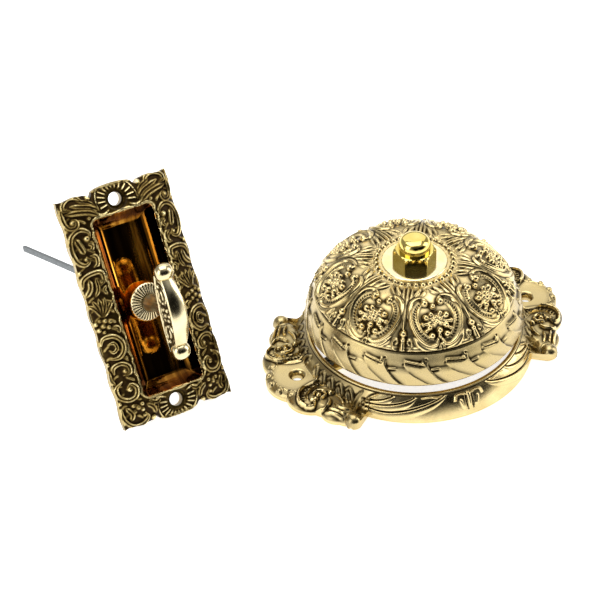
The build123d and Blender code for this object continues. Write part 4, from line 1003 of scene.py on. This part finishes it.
def cutEarHoles(piece):
    # screw holes, countersunk, cut through the ears
    bm = bmesh.new()
    bm.from_mesh(piece.data)
    reach, hole, sink = (v * mm for v in ringSizes["hole"])
    for side in (-1, 1):
        middle = Vector((side * reach, 0))

        def toCircle(verts, radius):
            for vert in verts:
                vert.co.xy = middle + (vert.co.xy - middle).normalized() * radius

        gone = [f for f in bm.faces if (f.calc_center_median().xy - middle).length < sink * 0.97]
        bmesh.ops.delete(bm, geom=gone, context="FACES")
        for upper in (False, True):
            edge = [e for e in bm.edges if e.is_boundary and (e.verts[0].co.z > 2 * mm) == upper
                    and (e.verts[0].co.xy - middle).length < sink * 1.4]
            toCircle({v for e in edge for v in e.verts}, sink if upper else hole)
            if not upper:
                continue
            # from the upper edge down the cone, then straight down to the back
            made = bmesh.ops.extrude_edge_only(bm, edges=edge)["geom"]
            cone = [v for v in made if isinstance(v, bmesh.types.BMVert)]
            toCircle(cone, hole)
            for vert in cone:
                vert.co.z -= sink - hole
            lower = [e for e in made if isinstance(e, bmesh.types.BMEdge)]
            for item in bmesh.ops.extrude_edge_only(bm, edges=lower)["geom"]:
                if isinstance(item, bmesh.types.BMVert):
                    item.co.z = 0
    bmesh.ops.remove_doubles(bm, verts=bm.verts, dist=0.000002)
    bmesh.ops.recalc_face_normals(bm, faces=bm.faces)
    for e in bm.edges:
        e.smooth = e.calc_face_angle(0) < 0.95
    bm.to_mesh(piece.data)
    bm.free()


def buildRing():
    size = ringSizes
    columns = size["columns"]
    angle = np.linspace(-math.pi, math.pi, columns, endpoint=False)
    c, s = np.cos(angle), np.sin(angle)
    bore, (lipRadius, lipHeight) = size["bore"], size["lip"]
    lobeOutline = furthest(np.full(columns, size["foot"][0]), size["lobes"], c, s)
    outline = furthest(lobeOutline, edgeBalls() + [size["ball"]], c, s)
    start = lipRadius + 0.35
    reach = start + (outline - start) * np.linspace(0, 1, size["rows"])[:, None]
    top, patinaAndShade = ringSurface(reach, c, s)

    def circle(radius, height):
        return np.stack([radius * c, radius * s, np.full(columns, height)], -1)[None]

    # up the bore and over the lip
    rows = [circle(bore, 0.0), circle(bore, 6.0), circle(bore, lipHeight - 0.25),
            circle(bore + 0.25, lipHeight), circle((bore + lipRadius) / 2, lipHeight + 0.05),
            circle(lipRadius - 0.25, lipHeight), circle(lipRadius, lipHeight - 0.3),
            circle(lipRadius + 0.05, lipHeight - 0.9)]
    # the balls round off below, where they stand out of the lobes
    tuck = np.clip(outline - lobeOutline, 0, 1.6)
    lower = []
    for part, high in ((0.12, 0.6), (0.45, 0.25), (1.0, 0.0)):
        under = outline - part * tuck
        lower.append(np.stack([under * c, under * s, np.minimum(top[-1, :, 2] * high, 9)], -1)[None])
    points = np.concatenate(rows + [top] + lower + [circle(bore, 0.0)])
    # the foot of the lip, where the flange begins, is darkened with painted shade
    lipMarks = np.array([0.2, 0.2, 0.1, 0, 0, 0, 0.5, 1.0])[:, None] * np.ones((1, columns))
    marks = np.concatenate([lipMarks, patinaAndShade, np.full((4, columns), 0.1)])
    piece = gridMesh("ring_casting", points, marks, "frame", bellBrass)
    cutEarHoles(piece)
    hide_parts("base_ring")


buildRing()
print("base ring built")


keySizes = {
    "grip": 27.4,            # dish floor to the middle of the grip, along the key
    "half": 17.7,            # middle to the rolled ends
    "width": 8.4,
    "thick": 5.4,            # half thickness in the middle
    "bow": (6.0, 2.6),       # how much the front and the back fall away towards the ends
    "roll": 4.1,
    "rollHalf": 4.1,         # half length of a rolled end
    "rosette": (8.8, 3.4),   # radius, height over the floor
    "stem": 3.0,
    "reeds": 34,
}


def keyFrame():
    joint = {j["name"]: j for j in frame["record"]["behaviour"]["joints"]}["key_turn"]
    pivot = np.array(joint["pos_m"]) / mm
    axis = np.array(joint["axis"], float)
    axis /= np.linalg.norm(axis)
    up = np.cross(axis, (1, 0, 0))
    up /= np.linalg.norm(up)
    return pivot + axis * 0.8, np.cross(up, axis), up, axis


def onKey(x, y, z):
    origin, across, along, axis = keyFrame()
    x, y, z = (part[..., None] for part in np.broadcast_arrays(x, y, z))
    return origin + x * across + y * along + z * axis


def turnedPiece(name, profile, angle, lift=0.0, patinaAndShade=0.0):
    # an (r, z) profile turned about the key's axis; lift, and patina with painted shade: one number, or one
    # for each point
    r, z = profile[:, :1], profile[:, 1:] + lift
    points = onKey(r * np.cos(angle), r * np.sin(angle), z)
    return gridMesh(name, points, np.broadcast_to(patinaAndShade, points.shape[:2]), "key", keyBrass)


def gripRelief():
    # x along the grip, y out from the plate: flower in the middle, leaves and scrolls to both ends
    relief = Relief(-20, 20, -8, 8)
    relief.ball(0, 0, 1.5, 1.3)
    for k in range(6):
        t = math.radians(60 * k + 30)
        relief.ball(2.6 * math.cos(t), 2.6 * math.sin(t), 1.3, 1.0)
    for side in (1, -1):
        for points, width in (([(4.4, 0.5), (7.6, 2.6), (11.0, 2.0), (13.2, -0.4)], 1.4),
                              ([(4.6, -1.4), (7.4, -3.0), (10.2, -2.6), (12.4, -4.4)], 1.4),
                              ([(6.4, 0.0), (9.0, 0.2), (11.4, -1.2)], 1.3),
                              ([(3.0, 3.6), (6.0, 5.0), (9.6, 4.8)], 1.1),
                              ([(3.4, -4.0), (6.6, -5.4), (9.6, -6.0)], 1.1),
                              ([(12.6, 1.8), (14.6, 0.2), (15.4, -2.0)], 1.3)):
            relief.stroke([(side * a, b) for a, b in points], width, 0.9)
        relief.ball(side * 5.4, -0.6, 1.0, 0.9)
        relief.ball(side * 12.8, -2.4, 1.1, 0.9)
    relief.soften(0.12)
    return relief


def buildGrip():
    # rows along the grip: up one carved side, over the front, down the other side and across the back
    size = keySizes
    y = np.linspace(-size["half"], size["half"], 140)[:, None]
    bowed = (y / size["half"]) ** 2
    front = size["grip"] + size["thick"] - size["bow"][0] * bowed
    back = size["grip"] - size["thick"] + size["bow"][1] * bowed
    half = size["width"] / 2
    relief = gripRelief()
    patinaAndShadeMap = hollows(relief, 0.8, 0.77, ground=0.75)
    columns, marks = [], []

    def addSide(sign, order):
        # order: 0 at the back edge, 1 at the front edge
        z = back + (front - back) * order
        sunk = np.clip((order - 0.03) / 0.06, 0, 1) * np.clip((0.86 - order) / 0.05, 0, 1)
        place = np.broadcast_to(y, z.shape), z - size["grip"]
        narrow = (0.3 + 1.7 * bowed) * order + 0.4 * np.clip((order - 0.93) / 0.07, 0, 1) ** 2
        columns.append(onKey(sign * (half - narrow - 0.9 * sunk + 1.1 * relief.sample(*place) * sunk), y, z))
        # the sunk carved side is darkened with patina and painted shade
        marks.append((relief.sample(*place, patinaAndShadeMap) + 0.1) * sunk)

    def addFace(across, x, z, patinaAndShade):
        columns.append(onKey(x * across, y, z))
        marks.append(np.full(columns[-1].shape[:2], patinaAndShade))

    upward = np.linspace(0, 1, 30)
    overFront = np.linspace(1, -1, 18)[1:-1]
    overBack = np.linspace(-1, 1, 10)[1:-1]
    addSide(1, upward)
    addFace(overFront, half - 0.7 - 1.7 * bowed, front + 0.55 * (1 - overFront ** 2), 0.0)
    addSide(-1, upward[::-1])
    addFace(overBack, half, back - 0.5 * (1 - overBack ** 2), 0.3)
    points = np.concatenate(columns, 1)
    rows, count = points.shape[:2]
    ends = [list(range(count)), [rows * count - 1 - k for k in range(count)]]
    grip = gridMesh("key_grip", points, np.concatenate(marks, 1), "key", keyBrass, capFaces=ends)
    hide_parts("turn_key")


def buildRolls():
    # rolled ends: a full ball across the grip, stepped at its sides as a scroll is seen from its end
    size = keySizes
    turn = np.linspace(0, 2 * math.pi, 64, endpoint=False)
    bend = np.linspace(-math.pi / 2, math.pi / 2, 36)[:, None]
    step = 0.28 * np.clip(np.abs(np.sin(bend)) - 0.75, 0, 1) * np.sin(bend * 9)
    radius = size["roll"] * np.clip(np.cos(bend), 0.002, 1) ** 0.7 + step
    radius[0] = radius[-1] = 0.01
    for side, name in ((1, "key_roll_top"), (-1, "key_roll_bottom")):
        points = onKey(size["rollHalf"] * np.sin(bend), side * (size["half"] + 0.6) + radius * np.cos(turn),
                       size["grip"] - 1.4 + radius * np.sin(turn))
        roll = gridMesh(name, points, np.zeros(points.shape[:2]), "key", keyBrass)
        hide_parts("turn_key")


def buildStem():
    # turned stem from behind the plate into the grip
    stem = keySizes["stem"]
    profile = np.array([(stem, -9.0), (stem, 3.0), (3.2, 5.4), (4.2, 6.6), (4.0, 7.6), (3.2, 9.0),
                        (2.9, 12.0), (3.0, 15.0), (3.7, 18.5), (4.1, 21.5), (3.9, 24.0), (0.01, 25.0)])
    angle = np.linspace(0, 2 * math.pi, 64, endpoint=False)
    piece = turnedPiece("key_stem", profile, angle, patinaAndShade=0.6)
    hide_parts("turn_key")


def buildRosette():
    # reeded disc behind the grip: the reeds begin over its rim and run out near the stem
    size = keySizes
    radius, low = size["rosette"]
    rim = [(3.2, low - 0.5), (radius - 0.3, low - 0.2), (radius, low + 0.1), (radius, low + 0.9),
           (radius - 0.3, low + 1.2)]
    domed = [(r, low + 1.3 + 1.5 * (1 - (r / radius) ** 2)) for r in np.linspace(radius - 0.5, 2.4, 22)]
    profile = np.array(rim + domed)
    r = profile[:, :1]
    angle = np.linspace(0, 2 * math.pi, size["reeds"] * 6, endpoint=False)
    reed = np.cos(angle * size["reeds"])
    overRim = np.clip((np.arange(len(profile))[:, None] - len(rim) + 1) / 2, 0, 1)
    lift = 0.3 * overRim * np.clip((r - 2.6) / 2.0, 0, 1) * reed
    # darker towards the stem under the grip and between the reeds: painted shade with patina
    nearStem = np.clip((5.2 - r) / 2.4, 0, 0.7)
    betweenReeds = np.clip((radius - 0.4 - r) / 0.3, 0, 1) * (0.55 - 0.45 * reed)
    disc = turnedPiece("key_rosette", profile, angle, lift, np.maximum(nearStem, betweenReeds))
    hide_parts("rosette")


buildGrip()
buildRolls()
buildStem()
buildRosette()
print("key built")


def dress(nodes, material):
    for name in nodes:
        for slot in frame["nodes"][name].material_slots:
            slot.material = material


dress(["back_bridge", "front_bridge", "driver_hub", "driver_wheel", "idler_wheel", "striker_arm", "seat_nut",
       "seat_washer", "key_washer", "pillar_1", "pillar_2", "pillar_3"], worksBrass)
dress(["bridge_screws", "hub_clip", "driver_stop", "stop_studs", "idler_pinion", "gong_post", "striker_hub",
       "return_spring", "spring_anchor", "spindle", "key_pin", "hammer_right", "hammer_left",
       "hammer_pin_right", "hammer_pin_left"], steel)
print("works dressed")


studio = {
    "target": (-0.0336, 0.0517, 0.0),
    "heading": -24.28,       # degrees round from the front
    "height": 39.75,         # degrees over the floor
    "roll": -2.13,
    "distance": 0.9522,
    "lens": 120.0,
    # brightness of the room from the horizon, 0, to straight above, 1; white at the horizon, as the floor is
    "levels": [(0.0, 1.0), (0.10, 1.0), (0.17, 0.42), (0.3, 0.36), (0.65, 0.34), (1.0, 0.50)],
    # dark parts of the room, which the dish and the carving show: radians round from the camera, lift,
    # cosine at the edge and at the core, least brightness
    "darkParts": [(0.1, 0.75, 0.80, 0.95, 0.16), (0.1, 0.30, 0.92, 0.975, 0.06),
                  (0.82, 0.40, 0.86, 0.95, 0.02)],
    # softboxes: place, aim, size, power
    "lamps": {
        "top_softbox": ((0.0, 0.15, 0.9), (-0.02, 0.0, 0.02), (0.9, 0.7), 5.0),
        "left_softbox": ((-0.9, -0.15, 0.45), (0.0, 0.0, 0.02), (0.5, 0.8), 3.2),
        "right_softbox": ((0.85, -0.25, 0.45), (0.0, 0.0, 0.02), (0.5, 0.8), 3.6),
        "back_softbox": ((0.36, 0.82, 0.74), (0.0, 0.0, 0.02), (1.3, 0.7), 2.9),
    },
}


def placeCamera():
    heading, height, roll = (math.radians(studio[k]) for k in ("heading", "height", "roll"))
    flat = math.cos(height)
    back = Vector((math.sin(heading) * flat, -math.cos(heading) * flat, math.sin(height)))
    right = (-back).cross(Vector((0, 0, 1))).normalized()
    up = right.cross(-back)
    right, up = (right * math.cos(roll) + up * math.sin(roll), up * math.cos(roll) - right * math.sin(roll))
    turn = Matrix((right, up, back)).transposed()
    data = bpy.data.cameras.new("product_camera")
    data.lens, data.sensor_width = studio["lens"], 36.0
    camera = addObject("product_camera", data)
    place = Vector(studio["target"]) + back * studio["distance"]
    camera.matrix_world = Matrix.Translation(place) @ turn.to_4x4()
    bpy.context.scene.camera = camera


def layFloor():
    # white paper that also shines a little evenly, so that it renders white with the object's shadow on it
    half, low = 4.0, -0.5 * mm
    mesh = bpy.data.meshes.new("floor")
    corners = [(-half, -half, low), (half, -half, low), (half, half, low), (-half, half, low)]
    mesh.from_pydata(corners, [], [(0, 1, 2, 3)])
    addObject("floor", mesh)
    paper, tree, shader = newMaterial("white_paper_sweep")
    shader.inputs["Base Color"].default_value = (0.9, 0.9, 0.9, 1)
    shader.inputs["Roughness"].default_value = 0.9
    shader.inputs["Emission Color"].default_value = (1, 1, 1, 1)
    shader.inputs["Emission Strength"].default_value = 0.75
    mesh.materials.append(paper)


def lightRoom():
    world = bpy.data.worlds.new("studio")
    bpy.context.scene.world = world
    world.use_nodes = True
    tree = world.node_tree
    tree.nodes.clear()
    direction = addNode(tree, "TexCoord", out="Generated")
    upward = addNode(tree, "SeparateXYZ", {0: direction}, out="Z")
    levels = [(place, (level, level, level, 1)) for place, level in studio["levels"]]
    room = addNode(tree, "ValToRGB", {"Fac": upward}, stops=levels)
    for sideways, lift, edge, core, least in studio["darkParts"]:
        turn = math.radians(studio["heading"]) + sideways
        middle = Vector((math.sin(turn), -math.cos(turn), lift)).normalized()
        facing = addNode(tree, "VectorMath", {0: direction, 1: tuple(middle)}, out="Value",
                         operation="DOT_PRODUCT")
        shade = addNode(tree, "MapRange", {"Value": facing, "From Min": edge, "From Max": core,
                                           "To Min": 1.0, "To Max": least})
        room = addNode(tree, "Mix", {0: 1.0, 6: room, 7: shade}, out=2, data_type="RGBA",
                       blend_type="MULTIPLY")
    around = addNode(tree, "Background", {"Color": room, "Strength": 1.0})
    addNode(tree, "OutputWorld", {"Surface": around})


def hangSoftboxes():
    for name, (place, aim, size, power) in studio["lamps"].items():
        light = bpy.data.lights.new(name, "AREA")
        light.shape = "RECTANGLE"
        light.size, light.size_y = size
        light.energy = power
        lamp = addObject(name, light)
        lamp.location = place
        lamp.rotation_mode = "QUATERNION"
        lamp.rotation_quaternion = (Vector(aim) - Vector(place)).to_track_quat("-Z", "Y")


bpy.context.scene.view_settings.view_transform = "Standard"
placeCamera()
layFloor()
lightRoom()
hangSoftboxes()
print("stage set")
